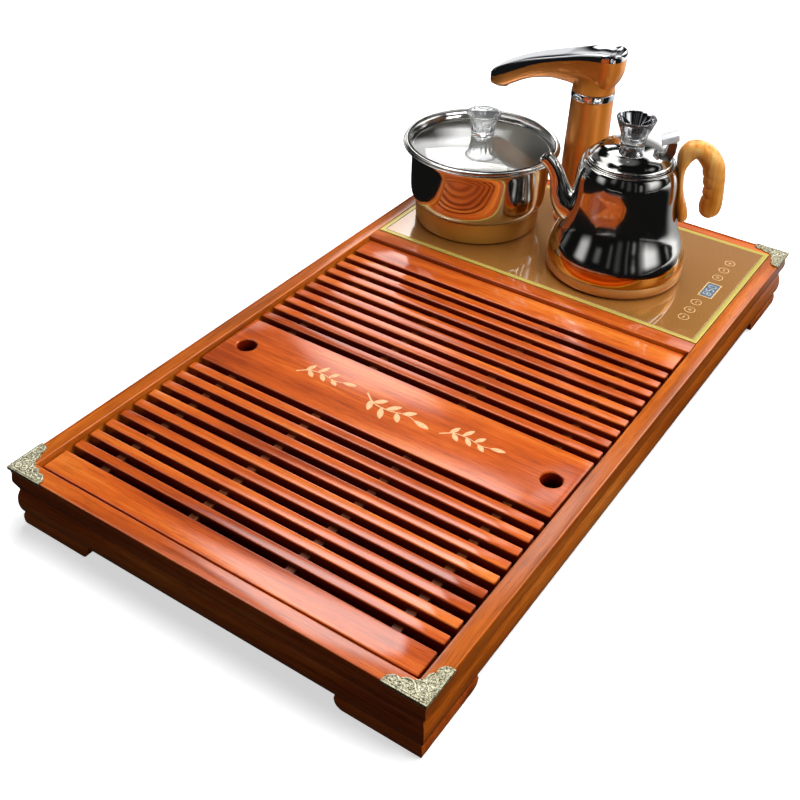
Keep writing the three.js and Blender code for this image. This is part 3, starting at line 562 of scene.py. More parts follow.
def bar_outline(y_low, y_high, z_low, z_high, arris=1.3, lower=0.5):
    """A rectangle (y, z) whose upper arrises are rounded more than its lower ones."""
    corners = [(y_low, z_low), (y_high, z_low), (y_high, z_high), (y_low, z_high)]
    return soften(corners, (lower, lower, arris, arris), 6)


low, high = corners_of("crossbar")
outline = bar_outline(low[1], high[1], low[2], high[2], 1.3)
mesh = mesh_from("rounded_crossbar", bar_grid(outline, low[0], high[0], 0.3))
piece("rounded_crossbar", mesh, rail_wood_across, "tray", ["crossbar"])


def foot_leg(mirrored):
    """One leg of a bracket foot as (across, along, up): a slightly swelling face, an end whose underside
    rises as a quarter round, and a mitred start, so that two legs make the corner."""
    deep, tall, length, radius = 17.0, 13.7, 76.0, 11.5
    face = through([(1.6, 0.0), (0.7, 1.2), (0.25, 4.0), (0.15, 7.5), (0.5, 11.0), (1.5, tall)], 12)
    outline = np.vstack([face, [(deep, tall), (deep, 0.0)]])
    inset, height = outline.T
    share = np.concatenate([[0, 0.3, 0.6], np.linspace(0.8, 1, 16)])[:, None]
    along = inset + share * (length - inset)
    past = np.clip(along - (length - radius), 0, radius)
    under = radius - np.sqrt(radius**2 - past**2)
    grid = np.stack([inset + 0 * along, along, np.maximum(height, np.minimum(under, tall - 0.1))], axis=-1)
    if mirrored:
        grid = grid[..., [1, 0, 2]]
    return capped(grid)


for front, end in ((-1, "front"), (1, "back")):
    for right, hand in ((-1, "left"), (1, "right")):
        node = f"foot_{end}_{hand}"
        low, high = corners_of(node)
        corner = np.array([low[0] if right < 0 else high[0], low[1] if front < 0 else high[1], 0])
        legs = [corner + foot_leg(flag) * [-right, -front, 1] for flag in (False, True)]
        mesh = mesh_from("bracket_" + node, legs)
        piece("bracket_" + node, mesh, rail_wood_across, "tray", [node])


# ---- Corner guards ------------------------------------------------------------------------


def leaf_outline(start, heading, length, width):
    """A leaf in plan: its two sides bow out by half the width times sin(pi t) raised to 0.8."""
    t = np.linspace(0, 1, 9)
    ahead = np.array([math.cos(heading), math.sin(heading)])
    aside = np.array([-ahead[1], ahead[0]])
    bow = width / 2 * np.sin(np.pi * t) ** 0.8
    spine = np.asarray(start) + length * t[:, None] * ahead
    return np.vstack([spine + bow[:, None] * aside, (spine - bow[:, None] * aside)[::-1][1:-1]])


def guard_edge():
    """The guard's inner edge from leg end to leg end: two scrolled lobes a leg and a deep hollow."""
    half = [(36.0, 1.5), (35.2, 5.2), (32.5, 8.2), (29.0, 9.4), (26.6, 8.6), (25.2, 10.2), (22.0, 12.2)]
    half += [(19.0, 12.4), (17.2, 13.0), (15.0, 15.0)]
    other = [(y, x) for x, y in half[::-1][1:]]
    return through(half + other, 61)


def guard_plate():
    """Plate between its outer and inner edges in plan, 0.8 mm thick, as a strip from corner to edge."""
    edge = guard_edge()
    along = np.maximum(edge[:, 0] - edge[:, 1], 0)
    across = np.maximum(edge[:, 1] - edge[:, 0], 0)
    x = np.where(across > 0, -0.9, edge[:, 0] * along / np.maximum(along.max(), 1))
    y = np.where(across > 0, edge[:, 1] * across / np.maximum(across.max(), 1), -0.9)
    outer = np.stack([x, y], axis=-1)
    middle = np.argmin(np.abs(edge[:, 0] - edge[:, 1]))
    outer[middle] = (-0.9, -0.9)
    edge_top = np.c_[edge, np.full(len(edge), 64.8)]
    outer_top = np.c_[outer, np.full(len(edge), 64.8)]
    edge_low = edge_top - [0, 0, 0.75]
    outer_low = np.c_[outer, np.full(len(edge), 62.0)]
    inner_low = np.c_[np.maximum(outer, -0.15), np.full(len(edge), 62.0)]
    inner_top = np.c_[np.maximum(outer, -0.15), np.full(len(edge), 64.05)]
    return np.stack([edge_top, outer_top, outer_low, inner_low, inner_top, edge_low], axis=1)


def wire(path, radius, height):
    """A half-round wire on the plate along a plan path, thinning to both ends."""
    path = np.asarray(path, float)
    step = np.gradient(path, axis=0)
    step /= np.linalg.norm(step, axis=1, keepdims=True)
    aside = np.c_[-step[:, 1], step[:, 0], np.zeros(len(path))]
    size = radius * (0.45 + 0.55 * np.sin(np.linspace(0.15, np.pi - 0.15, len(path))))
    spots = np.c_[path, np.full(len(path), height)]
    section = circle(8)
    return capped(swept(spots, aside, np.tile([0, 0, 1.0], (len(path), 1)), np.c_[size, size * 0.8], section))


def scroll(centre, start_radius, end_radius, start, turn):
    """A spiral in plan whose radius shrinks evenly from start to end radius while it turns."""
    t = np.linspace(0, 1, 22)
    angle = math.radians(start) + t * math.radians(turn)
    r = start_radius + (end_radius - start_radius) * t
    return np.c_[centre[0] + r * np.cos(angle), centre[1] + r * np.sin(angle)]


def guard_relief():
    """Raised scrolls, leaves and nail heads of one corner guard, mirrored over its diagonal."""
    scrolls = [
        scroll((5.2, 5.2), 3.6, 0.8, 225, 520),
        scroll((12.0, 5.0), 3.4, 0.7, 160, -480),
        scroll((18.5, 6.2), 3.0, 0.7, 200, 500),
        scroll((24.5, 4.0), 2.6, 0.6, 150, -460),
        scroll((10.5, 10.5), 2.6, 0.6, 45, 480),
    ]
    veins = [
        through([(2.0, 1.2), (12.0, 1.0), (24.0, 1.4), (35.0, 1.2)], 20),
        through([(35.0, 2.0), (33.2, 6.0), (29.4, 8.2), (26.4, 7.2), (27.6, 4.8)], 20),
        through([(25.0, 8.8), (21.0, 11.0), (17.4, 11.0), (15.2, 9.0), (17.0, 7.6)], 20),
        through([(8.4, 3.0), (15.0, 9.4), (14.0, 13.6)], 16),
    ]
    paths = scrolls + veins
    paths += [path[:, ::-1] for path in paths]
    return [wire(path, 0.62, 64.95) for path in paths]


def dome(centre, radius, height, base):
    """A low dome: r runs out as height times the square root of one less the squared share."""
    r = np.linspace(radius, 0, 8)
    profile = np.c_[r, height * np.sqrt(np.maximum(1 - (r / radius) ** 2, 0))]
    return turned(np.vstack([[0, -0.2], [radius, -0.2], profile]), centre, base, 20)


def guard_nails():
    """Round nail heads: one near each leg's end and one near the corner."""
    return [dome(spot, 1.5, 0.9, 64.8) for spot in ((30.6, 3.6), (3.6, 30.6), (8.6, 8.6))]


for front, end in ((-1, "front"), (1, "back")):
    for right, hand in ((-1, "left"), (1, "right")):
        node = f"corner_guard_{end}_{hand}"
        corner = np.array([right * 202, front * 363.5, 0])
        facing = np.array([-right, -front, 1])
        plate = mesh_from("plate_" + node, corner + guard_plate() * facing, close_columns=True)
        piece("plate_" + node, plate, aged_brass, "tray", [node])
        relief = [corner + grid * facing for grid in guard_relief() + guard_nails()]
        mesh = mesh_from("relief_" + node, relief)
        piece("relief_" + node, mesh, bright_brass, "tray", ())


# ---- Slatted deck -------------------------------------------------------------------------

battens = []
for number in (1, 2, 3, 4):
    low, high = corners_of(f"batten_{number}")
    battens.append((low[0] - CLEAR, high[0] + CLEAR))
    batten_top = high[2] + CLEAR

deck_bars = [f"slat_{number:02d}" for number in range(1, 19)] + ["deck_plank_front", "deck_plank_back"]
# The wood has shrunk a little more at the front and at the right end, where a dark gap shows.
left_gap, right_gap, front_gap = 0.9, 2.8, 3.2
for node in deck_bars:
    low, high = corners_of(node)
    front = front_gap if node == "deck_plank_front" else 0
    outline = bar_outline(low[1] + front, high[1], low[2], high[2])
    grid = bar_grid(outline, low[0] + left_gap, high[0] - right_gap, 1.2, battens, batten_top)
    mesh = mesh_from("rounded_" + node, grid)
    piece("rounded_" + node, mesh, deck_wood, "deck", [node])

low, high = corners_of("deck_plank_centre")
outline = bar_outline(low[1], high[1], low[2], high[2])
grid = bar_grid(outline, low[0] + left_gap, high[0] - right_gap, 1.2, battens, batten_top)
plank = mesh_from("work_plank", grid)
plank_middle = (low[1] + high[1]) / 2
plank_top = high[2]
hole_profile = [(0, -20), (9.5, -20), (9.5, -1.6), (9.9, -0.6), (10.8, 0.0), (12.2, 0.3), (12.2, 2), (0, 2)]
holes = []
for side in (-163.0, 163.0):
    cutter = turned(hole_profile, (side, plank_middle), plank_top, 48)
    holes.append(mesh_from("work_hole", cutter))
mesh = drilled(plank, holes)
mesh.name = "drilled_plank"
piece("drilled_plank", mesh, deck_wood, "deck", ["deck_plank_centre"])


def leaf(start, heading, length, width, height):
    """A flat leaf with a raised edge: its outline at two heights, drawn together to its middle."""
    plan = leaf_outline(start, heading, length, width)
    middle = plan.mean(axis=0)
    rows = []
    for share, lift in ((1.0, -0.25), (1.0, 0.05), (0.9, 0.1), (0.0, 0.1)):
        ring = middle + (plan - middle) * share
        rows.append(np.c_[ring, np.full(len(ring), height + lift)])
    return capped(np.stack(rows))


def stalk(points, width, height):
    """A thin inlaid line along a plan curve, tapering to its end."""
    path = through(points, 26)
    step = np.gradient(path, axis=0)
    step /= np.linalg.norm(step, axis=1, keepdims=True)
    aside = np.c_[-step[:, 1], step[:, 0]]
    half = (width / 2 * (1 - 0.6 * np.linspace(0, 1, len(path))))[:, None]
    left, right = path + aside * half, path - aside * half
    rows = [np.c_[left, np.full(len(path), height - 0.25)], np.c_[left, np.full(len(path), height + 0.08)]]
    rows += [np.c_[right, np.full(len(path), height + 0.08)], np.c_[right, np.full(len(path), height - 0.25)]]
    return capped(np.stack(rows, axis=1))


def tea_sprig(centre, heading, size, mirror):
    """A curved stalk with seven pointed tea leaves, set in pairs and one at the tip."""
    turn = np.array([[math.cos(heading), -math.sin(heading)], [math.sin(heading), math.cos(heading)]])
    spine = np.array([(-24, -4), (-12, 2.5), (2, 2.0), (16, -2.5), (27, -1.5)]) * [1, mirror] * size
    grids = [stalk(spine @ turn.T + centre, 1.5 * size, plank_top)]
    for at, angle, length in (
        ((-16, 0.8), 62, 13),
        ((-13, 2.0), -48, 12),
        ((-4, 2.8), 56, 14),
        ((0, 2.2), -52, 13),
        ((9, 0.0), 48, 12),
        ((13, -1.4), -44, 12),
        ((25, -1.8), 4, 15),
    ):
        spot = np.array(at) * [1, mirror] * size @ turn.T + centre
        grids.append(leaf(spot, heading + math.radians(angle * mirror), length * size, 5.0 * size, plank_top))
    return grids


sprigs = []
sprig_places = ((-78, 3, 10, 0.95, 1), (0, -1, -6, 1.15, -1), (78, 3, 8, 0.95, 1))
for across, along, heading, size, mirror in sprig_places:
    sprigs += tea_sprig(np.array([across, plank_middle + along]), math.radians(heading), size, mirror)
mesh = mesh_from("inlaid_tea_sprigs", sprigs)
piece("inlaid_tea_sprigs", mesh, cream_inlay, "deck", ())

# ---- Hob ----------------------------------------------------------------------------------

trim_low, trim_high = corners_of("hob_trim")


def framed(profile, low, high):
    """A section (inset, height) carried round a rectangle, its corners mitred."""
    profile = np.asarray(profile, float)
    inset, height = profile.T
    x = np.array([low[0], high[0], high[0], low[0]])[:, None]
    y = np.array([low[1], low[1], high[1], high[1]])[:, None]
    inward_x = np.array([1, -1, -1, 1])[:, None]
    inward_y = np.array([1, 1, -1, -1])[:, None]
    return np.stack([x + inward_x * inset, y + inward_y * inset, height + 0 * x], axis=-1)


top = trim_high[2]
trim_corners = [(0, top - 4.2), (5, top - 4.2), (5, top - 0.25), (3.2, top), (0.0, top)]
trim_profile = soften(trim_corners, (0.2, 0.2, 0.3, 0.3, 0.6), 4)
mesh = mesh_from("bevelled_trim", framed(trim_profile, trim_low, trim_high), close_rows=True)
piece("bevelled_trim", mesh, trim_gold, "tray", ["hob_trim"])

glass_low, glass_high = corners_of("hob_glass")


def slab(low, high, ease):
    """A flat slab from shrinking rectangles: its upper and lower edges are eased by a small chamfer."""
    rings = []
    for inset, height in ((ease, low[2]), (0, low[2] + ease), (0, high[2] - ease), (ease, high[2])):
        x = [low[0] + inset, high[0] - inset, high[0] - inset, low[0] + inset]
        y = [low[1] + inset, low[1] + inset, high[1] - inset, high[1] - inset]
        rings.append(np.c_[x, y, np.full(4, height)])
    return capped(np.stack(rings))


mesh = mesh_from("eased_glass", slab(glass_low, glass_high, 0.5))
piece("eased_glass", mesh, panel_gold, "tray", ["hob_glass"])
face = glass_high[2]


def patch(points, height, thick=0.06):
    """A thin flat print from a plan outline."""
    levels = (height - 0.04, height + thick)
    return capped(np.stack([np.c_[points, np.full(len(points), level)] for level in levels]))


def ring_print(centre, radius, width, height, start=0, end=360):
    """A printed ring or arc, width wide."""
    a = np.radians(np.linspace(start, end, 41))
    rim = np.stack([np.cos(a), np.sin(a)], axis=-1)
    outer = centre + rim * (radius + width / 2)
    inner = centre + rim * (radius - width / 2)
    rows = [
        np.c_[inner, np.full(41, height - 0.04)],
        np.c_[inner, np.full(41, height + 0.06)],
        np.c_[outer, np.full(41, height + 0.06)],
        np.c_[outer, np.full(41, height - 0.04)],
    ]
    return capped(np.stack(rows, axis=1))


def bar_print(centre, along, across, height):
    """A printed rectangle."""
    x, y = centre
    corners = [(x - across / 2, y - along / 2), (x + across / 2, y - along / 2)]
    corners += [(x + across / 2, y + along / 2), (x - across / 2, y + along / 2)]
    return patch(np.array(corners, float), height)


# Touch keys run along the right edge: plain rings with simple marks, and a window with a number between them.
key_x = 158.0
prints = []
for y in (176.0, 192.0, 209.0, 268.0, 286.0, 304.0):
    prints.append(ring_print(np.array([key_x, y]), 5.2, 0.7, face))
    prints.append(bar_print((key_x, y), 4.2, 0.8, face))
for y in (192.0, 268.0, 304.0):
    prints.append(bar_print((key_x, y), 0.8, 4.2, face))
mesh = mesh_from("touch_key_prints", prints)
piece("touch_key_prints", mesh, dial_print, "tray", ())

window_low, window_high = np.array([154.0, 224.5]), np.array([167.5, 253.5])
window_middle = (window_low + window_high) / 2
mesh = mesh_from("display_window", bar_print(window_middle, 29, 13.5, face))
piece("display_window", mesh, display_grey, "tray", ())
border = [(0, face - 0.04), (1.1, face - 0.04), (1.1, face + 0.1), (0, face + 0.1)]
rim = framed(border, window_low - 0.8, window_high + 0.8)
mesh = mesh_from("display_border", rim, close_rows=True)
piece("display_border", mesh, dial_print, "tray", ())

# The number reads from the right-hand side: digits are seven bars each, and stand in a row along y.
segments = {"8": "abcdefg", "5": "acdfg", "0": "abcdef"}
digit_high, digit_wide, stroke = 7.6, 4.4, 0.9
spots = {
    "a": (0, 1, True),
    "b": (1, 0.5, False),
    "c": (1, -0.5, False),
    "d": (0, -1, True),
    "e": (-1, -0.5, False),
    "f": (-1, 0.5, False),
    "g": (0, 0, True),
}
digits = []
for place, figure in enumerate("850"):
    for key in segments[figure]:
        right, up, level = spots[key]
        along = window_middle[1] + (place - 1) * 7.6 + right * digit_wide / 2
        across = window_middle[0] - up * digit_high / 2
        size = (digit_wide - stroke, stroke) if level else (stroke, digit_high / 2 - stroke)
        digits.append(bar_print((across, along), size[0], size[1], face + 0.06))
mesh = mesh_from("display_digits", digits)
piece("display_digits", mesh, display_segment, "tray", ())

# ---- Pot ----------------------------------------------------------------------------------

pot_low, pot_high = corners_of("pot_body")
pot = ((pot_low[0] + pot_high[0]) / 2, (pot_low[1] + pot_high[1]) / 2)
stand = corners_of("pot_base")[0][2]

foot = [(0, 0), (63, 0), (66.5, 0.3), (68.2, 1.4), (68.7, 3.0), (69.1, 12), (69.5, 22)]
foot += [(69.5, 23.4), (69.0, 24.0), (60, 24.0), (0, 24)]
mesh = mesh_from("pot_foot", turned(foot, pot, stand))
piece("pot_foot", mesh, base_gold, "pot", ["pot_base"])
wall = [(66.0, 24.3), (69.6, 24.9), (72.4, 27.2), (74.3, 31.2), (75.2, 36.5), (75.5, 44.0)]
wall = through(wall + [(75.5, 57.0), (75.5, 70.0)], 40)
flare = through([(75.5, 70.0), (75.6, 77.0), (76.2, 82.0), (78.2, 85.6), (81.6, 87.2), (84.6, 87.7)], 24)
lip = [(84.6, 87.7), (85.4, 88.2), (85.3, 88.9), (84.6, 89.15), (82.4, 88.9), (79.0, 87.6), (76.2, 84.6)]
lip = through(lip, 20)
throat = [(76.2, 84.6), (75.0, 81.0), (75.0, 70.0), (75.0, 44.0), (74.2, 35.0), (70.8, 28.6), (0, 24.6)]
mesh = mesh_from("pot_shell", turned(np.vstack([[0, 24.3], wall, flare, lip, throat]), pot, stand, 128))
piece("pot_shell", mesh, steel, "pot", ["pot_body"])
lining = [(74.4, 80.0), (74.1, 70.0), (74.1, 44.0), (73.4, 36.0), (70.6, 30.5), (65.0, 27.6), (58.0, 27.0)]
lining = through(lining, 40)
r = np.linspace(57.5, 0, 80)
floor = np.c_[r, 27.0 + 0.22 * np.sin(r * 1.05)]
back = [(0, 25.2), (66.0, 25.4), (72.6, 31.0), (74.9, 40.0), (74.9, 80.0)]
mesh = mesh_from("pot_lining", turned(np.vstack([lining, floor, back]), pot, stand, 128), close_rows=True)
piece("pot_lining", mesh, satin_steel, "pot", ())

ring = [(79.1, 89.35), (84.0, 89.35), (84.0, 91.4), (81.8, 92.3), (79.1, 91.6)]
ring = soften(ring, (0.4, 0.6, 0.8, 0.8, 0.5), 5)
mesh = mesh_from("pot_lid_band", turned(ring, pot, stand, 128), close_rows=True)
piece("pot_lid_band", mesh, steel, "pot_lid", ["pot_lid_ring"])
r = np.linspace(0, 78.7, 30)
under = np.c_[r, 89.4 + 5 * (1 - (r / 79) ** 2)]
over = under[::-1] + [0, 2.9]
mesh = mesh_from("pot_lid_pane", turned(np.vstack([under, over]), pot, stand, 96))
piece("pot_lid_pane", mesh, lid_glass, "pot_lid", ["pot_lid_glass"])


def knob_grid(outer, cup, centre, base, flutes=0, flute_rows=(0, 0)):
    """A flared knob: its outer profile, then its cup, both turned; flutes run down part of the outside."""
    outer = through(outer, 34)
    cup = through(cup, 20)
    profile = np.vstack([[0, outer[0, 1]], outer, cup, [0, cup[-1, 1]]])
    depth = np.zeros(len(profile))
    z = profile[:, 1]
    low, high = flute_rows
    share = np.clip((z - low) / max(high - low, 1), 0, 1)
    depth[: len(outer) + 1] = 0.5 * np.sin(np.pi * share[: len(outer) + 1])
    return turned(profile, centre, base, 96, flutes, depth)


outer = [(9.8, 97.7), (12.0, 98.4), (12.7, 101.5), (13.2, 106.0), (14.0, 111.0), (15.2, 115.5)]
outer += [(16.8, 119.4), (18.6, 122.0), (18.6, 122.8)]
cup = [(17.9, 122.9), (16.2, 121.4), (13.8, 117.2), (12.0, 112.0), (10.8, 106.0), (9.4, 102.8), (6.0, 101.6)]
mesh = mesh_from("pot_knob", knob_grid(outer, cup, pot, stand, 16, (100, 116)), crisp=40)
piece("pot_knob", mesh, clear_acrylic, "pot_lid", ["pot_lid_knob"])

# ---- Kettle -------------------------------------------------------------------------------

low, high = corners_of("kettle_base")
kettle = ((low[0] + high[0]) / 2, (low[1] + high[1]) / 2)
heading = 22
seat = low[2]

lip_band = through([(66.5, 0.0), (69.6, 1.0), (71.4, 4.0), (71.9, 7.6), (71.6, 10.4), (70.9, 12.0)], 18)
lip_band = np.vstack([[0, 0], lip_band, [(68.0, 12.4), (0, 12.4)]])
mesh = mesh_from("kettle_foot_band", turned(lip_band, kettle, seat, 128))
piece("kettle_foot_band", mesh, lip_gold, "kettle", ["kettle_base"])
bowl = through([(70.4, 12.4), (70.9, 15.0), (70.9, 19.0), (70.5, 23.0), (70.0, 26.0)], 20)
mesh = mesh_from("kettle_foot_bowl", turned(np.vstack([[0, 12.5], bowl, [0, 26.0]]), kettle, seat, 128))
piece("kettle_foot_bowl", mesh, mirror_gold, "kettle", ())

shell = [(69.6, 26.3), (68.9, 29.2), (67.0, 35.0), (63.7, 42.5), (60.1, 50.5), (57.3, 58.5), (55.4, 66.0)]
shell += [(54.0, 73.0), (53.0, 80.0), (52.3, 88.0), (51.7, 98.0), (50.8, 106.0), (49.6, 112.0)]
shell = through(shell + [(47.7, 117.6), (46.2, 120.2), (45.2, 121.0)], 72)
rim = [(45.2, 121.0), (45.5, 121.5), (45.2, 121.95), (44.2, 121.95), (43.4, 121.4), (43.35, 119.6)]
inner = [(43.3, 119.5), (40.6, 119.4), (40.4, 118.0), (46.0, 114.0), (49.2, 100.0), (50.8, 80.0)]
inner = through(inner + [(57.0, 57.0), (66.0, 31.0)], 40)
profile = np.vstack([[0, 26.3], shell, through(rim, 14), inner, [0, 28.0]])
mesh = mesh_from("kettle_shell", turned(profile, kettle, seat, 128))
piece("kettle_shell", mesh, steel, "kettle", ["kettle_body"])


def plane_sweep(stations, count, sides, depth=None):
    """Rings along a curve in the kettle's handle plane. A station is (distance out, height, half thickness);
    a ring is an ellipse across the curve, as deep as given or round."""
    rows = through(stations, count)
    path = np.c_[rows[:, 0], np.zeros(count), rows[:, 1]]
    step = np.gradient(path, axis=0)
    step /= np.linalg.norm(step, axis=1, keepdims=True)
    up = np.c_[-step[:, 2], np.zeros(count), step[:, 0]]
    side = np.tile([0, 1.0, 0], (count, 1))
    half = rows[:, 2]
    wide = half if depth is None else np.broadcast_to(depth, count)
    return swept(path, side, up, np.c_[wide, half], circle(sides))


spout_path = [
    (-38.0, 58.5, 18.5),
    (-49.5, 61.3, 17.2),
    (-57.9, 68.3, 15.6),
    (-63.3, 76.2, 12.4),
    (-67.0, 86.5, 9.5),
    (-70.7, 97.6, 7.9),
    (-76.6, 107.2, 7.3),
    (-84.0, 114.6, 7.4),
]
outer = plane_sweep(spout_path, 44, 40)
bore = plane_sweep([(x, z, max(r - 1.3, 2)) for x, z, r in spout_path], 44, 40)[:20:-1]
tip = outer[-1]
middle = tip.mean(axis=0)
lip_ring = middle + (tip - middle) * 0.93 + [-0.5, 0, 0.5]
spout = np.concatenate([outer, lip_ring[None], bore])
mesh = mesh_from("gooseneck_spout", spun(capped(spout), heading, kettle) + [0, 0, seat], crisp=50)
piece("gooseneck_spout", mesh, steel, "kettle", ())

grip = [
    (60.4, 60.9, 2.0),
    (60.4, 64.0, 4.6),
    (60.4, 67.0, 5.8),
    (59.4, 72.0, 5.8),
    (57.8, 78.0, 5.5),
    (56.0, 84.0, 4.8),
    (54.6, 91.0, 3.8),
    (53.4, 98.0, 3.3),
    (52.2, 106.0, 3.3),
    (51.6, 112.0, 3.6),
    (51.2, 118.0, 4.4),
    (51.4, 124.0, 6.2),
    (53.1, 132.0, 8.6),
    (57.6, 138.8, 10.0),
    (65.5, 140.3, 9.3),
    (73.3, 135.3, 10.3),
    (78.1, 130.0, 10.7),
    (81.3, 124.7, 10.9),
    (82.5, 119.8, 11.2),
    (84.5, 114.8, 10.2),
    (84.5, 109.4, 11.0),
    (86.4, 104.2, 9.4),
    (85.8, 98.4, 10.6),
    (87.0, 93.0, 9.9),
    (86.2, 87.1, 11.2),
    (85.6, 79.5, 11.0),
    (84.6, 74.2, 9.0),
    (84.0, 69.4, 5.6),
]
count = 120
t = np.linspace(0, 1, count)
end = np.minimum(t, 1 - t) * count
ease = np.sqrt(np.clip(1 - (1 - np.minimum(end / 5, 1)) ** 2, 0.02, 1))
depth = through([(7.6,), (8.0,), (8.3,), (8.5,), (8.5,), (8.5,), (8.3,), (7.8,)], count)[:, 0] * ease
handle = plane_sweep(grip, count, 40, depth)
middle = handle.mean(axis=1, keepdims=True)
side = (handle - middle) * [1, 0, 1]
handle = middle + side * ease[:, None, None] + (handle - middle) * [0, 1, 0]
mesh = mesh_from("bamboo_handle", spun(capped(handle), heading, kettle) + [0, 0, seat], crisp=60)
piece("bamboo_handle", mesh, bamboo, "kettle", ["kettle_handle"])

lid_low = corners_of("kettle_lid")[0][2] - seat
dome_top = [(42.9, 2.2), (43.0, 3.6), (42.3, 4.9), (40.6, 5.6), (39.2, 7.1), (35.4, 11.8)]
dome_top = through(dome_top + [(28.6, 16.2), (18.6, 19.2), (8.0, 20.3), (0.0, 20.4)], 60)
lid_profile = np.vstack([[(0, 12.4)], [(28, 9.7), (38, 4.2), (41.4, 0.4), (42.6, 0.2)], dome_top])
lid = mesh_from("work_lid", turned(lid_profile, kettle, seat + lid_low, 128))
vents = []
for angle in (188, 202, 216):
    spot = (kettle[0] + 30 * math.cos(math.radians(angle)), kettle[1] + 30 * math.sin(math.radians(angle)))
    vent = turned([(0, -2), (2.0, -2), (2.0, 23), (0, 23)], spot, seat + lid_low, 24)
    vents.append(mesh_from("work_vent", vent))
mesh = drilled(lid, vents)
mesh.name = "domed_kettle_lid"
piece("domed_kettle_lid", mesh, steel, "kettle_lid_body", ["kettle_lid"])

base = corners_of("kettle_lid_knob")[0][2]
outer = [(9.6, 0.1), (11.4, 0.9), (11.9, 4.0), (12.4, 9.0), (13.6, 14.5), (15.4, 19.5), (17.6, 25.0)]
outer += [(19.4, 30.0), (19.8, 31.4)]
cup = [(19.0, 31.9), (17.8, 31.0), (15.4, 25.6), (12.8, 19.0), (11.0, 13.5), (8.6, 8.4), (5.0, 7.2)]
mesh = mesh_from("kettle_knob", knob_grid(outer, cup, kettle, base), crisp=40)
piece("kettle_knob", mesh, clear_acrylic, "kettle_lid_body", ["kettle_lid_knob"])
outside = through([(18.6, 31.0), (17.2, 29.0), (14.6, 23.4), (12.2, 18.0), (9.6, 13.0), (7.4, 10.4)], 20)
liner = np.vstack([outside, [0, 9.6], [0, 10.2], outside[::-1] - [0.5, -0.3]])
mesh = mesh_from("kettle_knob_liner", turned(liner, kettle, base), crisp=40)
piece("kettle_knob_liner", mesh, chrome, "kettle_lid_body", ())


def plate(points, half, ease=0.4):
    """A plan (out, up) outline given thickness across the handle's plane, with eased rims."""
    points = np.asarray(points, float)
    middle = points.mean(axis=0)
    rows = []
    for share, across in ((0.94, -half), (1, -half + ease), (1, half - ease), (0.94, half)):
        ring = middle + (points - middle) * share
        rows.append(np.c_[ring[:, 0], np.full(len(ring), across), ring[:, 1]])
    return capped(np.stack(rows))


bracket = [(30.5, 131.0), (38.4, 126.4), (42.2, 136.0), (42.6, 146.0), (34.4, 147.0), (33.4, 138.5)]
bracket = plate(soften(bracket, 0.8, 4), 7.0)
mesh = mesh_from("catch_bracket", spun(bracket, heading, kettle) + [0, 0, seat])
piece("catch_bracket", mesh, satin_steel, "kettle_lid_body", ["kettle_lid_catch"])
tab = soften([(27.8, 142.8), (44.0, 149.8), (42.4, 156.0), (26.2, 149.0)], 0.8, 4)
mesh = mesh_from("catch_tab", spun(plate(tab, 8.5), heading, kettle) + [0, 0, seat])
piece("catch_tab", mesh, milky_acrylic, "kettle_lid_body", ())

# ---- Tap ----------------------------------------------------------------------------------

low, high = corners_of("tap_ring")
tap = ((low[0] + high[0]) / 2, (low[1] + high[1]) / 2)
column_low, column_high = corners_of("tap_column")
ring_low, ring_high = low[2], high[2]

flange = through([(26.3, 0.0), (26.4, 2.2), (25.9, 3.4), (25.0, 3.9)], 10)
tall = column_high[2] - column_low[2]
post = [(24.6, 4.1), (24.5, 5.5), (22.55, tall - 0.6), (22.0, tall)]
post += [(9.6, tall), (9.6, tall - 18), (0, tall - 18)]
column = np.vstack([[0, 0], flange, post])
mesh = mesh_from("tap_post", turned(column, tap, column_low[2], 96))
piece("tap_post", mesh, tap_gold, "tray", ["tap_column"])
high_band = ring_high - ring_low
band = soften([(9.6, 0), (23.2, 0), (23.2, high_band), (9.6, high_band)], (0, 0.9, 0.9, 0), 6)
mesh = mesh_from("tap_band", turned(band, tap, ring_low, 96), close_rows=True)
piece("tap_band", mesh, chrome, "tray", ["tap_ring"])

# Stations of the head: (distance to the outlet side, half width, underside, border, crest) over the glass.
head_stations = through(
    [
        (121.2, 3.0, 134.6, 138.0, 140.4),
        (120.2, 8.6, 131.2, 138.8, 144.5),
        (117.3, 11.6, 129.8, 140.0, 148.2),
        (111.0, 13.8, 129.6, 142.6, 153.6),
        (102.0, 15.0, 131.0, 147.2, 158.6),
        (91.0, 15.8, 137.4, 153.2, 164.0),
        (77.0, 16.6, 145.2, 160.8, 170.2),
        (62.0, 17.3, 150.8, 168.4, 175.6),
        (45.0, 17.9, 154.4, 174.8, 181.0),
        (28.0, 18.4, 154.4, 180.0, 186.4),
        (12.0, 18.8, 153.0, 184.2, 191.4),
        (-4.0, 19.2, 152.4, 186.8, 195.2),
        (-14.0, 19.4, 153.6, 187.6, 197.0),
        (-21.0, 17.8, 157.6, 188.0, 197.4),
        (-26.0, 13.8, 165.0, 188.2, 196.4),
        (-29.2, 7.6, 174.0, 188.4, 193.8),
        (-30.2, 2.0, 181.0, 188.4, 190.8),
    ],
    84,
)
over_glass = column_low[2] - 0.3


def head_rings(rows, level, peak, power, steps):
    """Half rings, a from 0 to pi: y = half width cos a, z = level + (peak - level) sin a, each to a power."""
    at, half = rows[:, 0][:, None], rows[:, 1][:, None]
    a = np.linspace(0, np.pi, steps)[None]
    across = half * np.sign(np.cos(a)) * np.abs(np.cos(a)) ** power
    height = level[:, None] + (peak - level)[:, None] * np.sin(a) ** power
    return np.stack([-at + 0 * across, across, height], axis=-1)


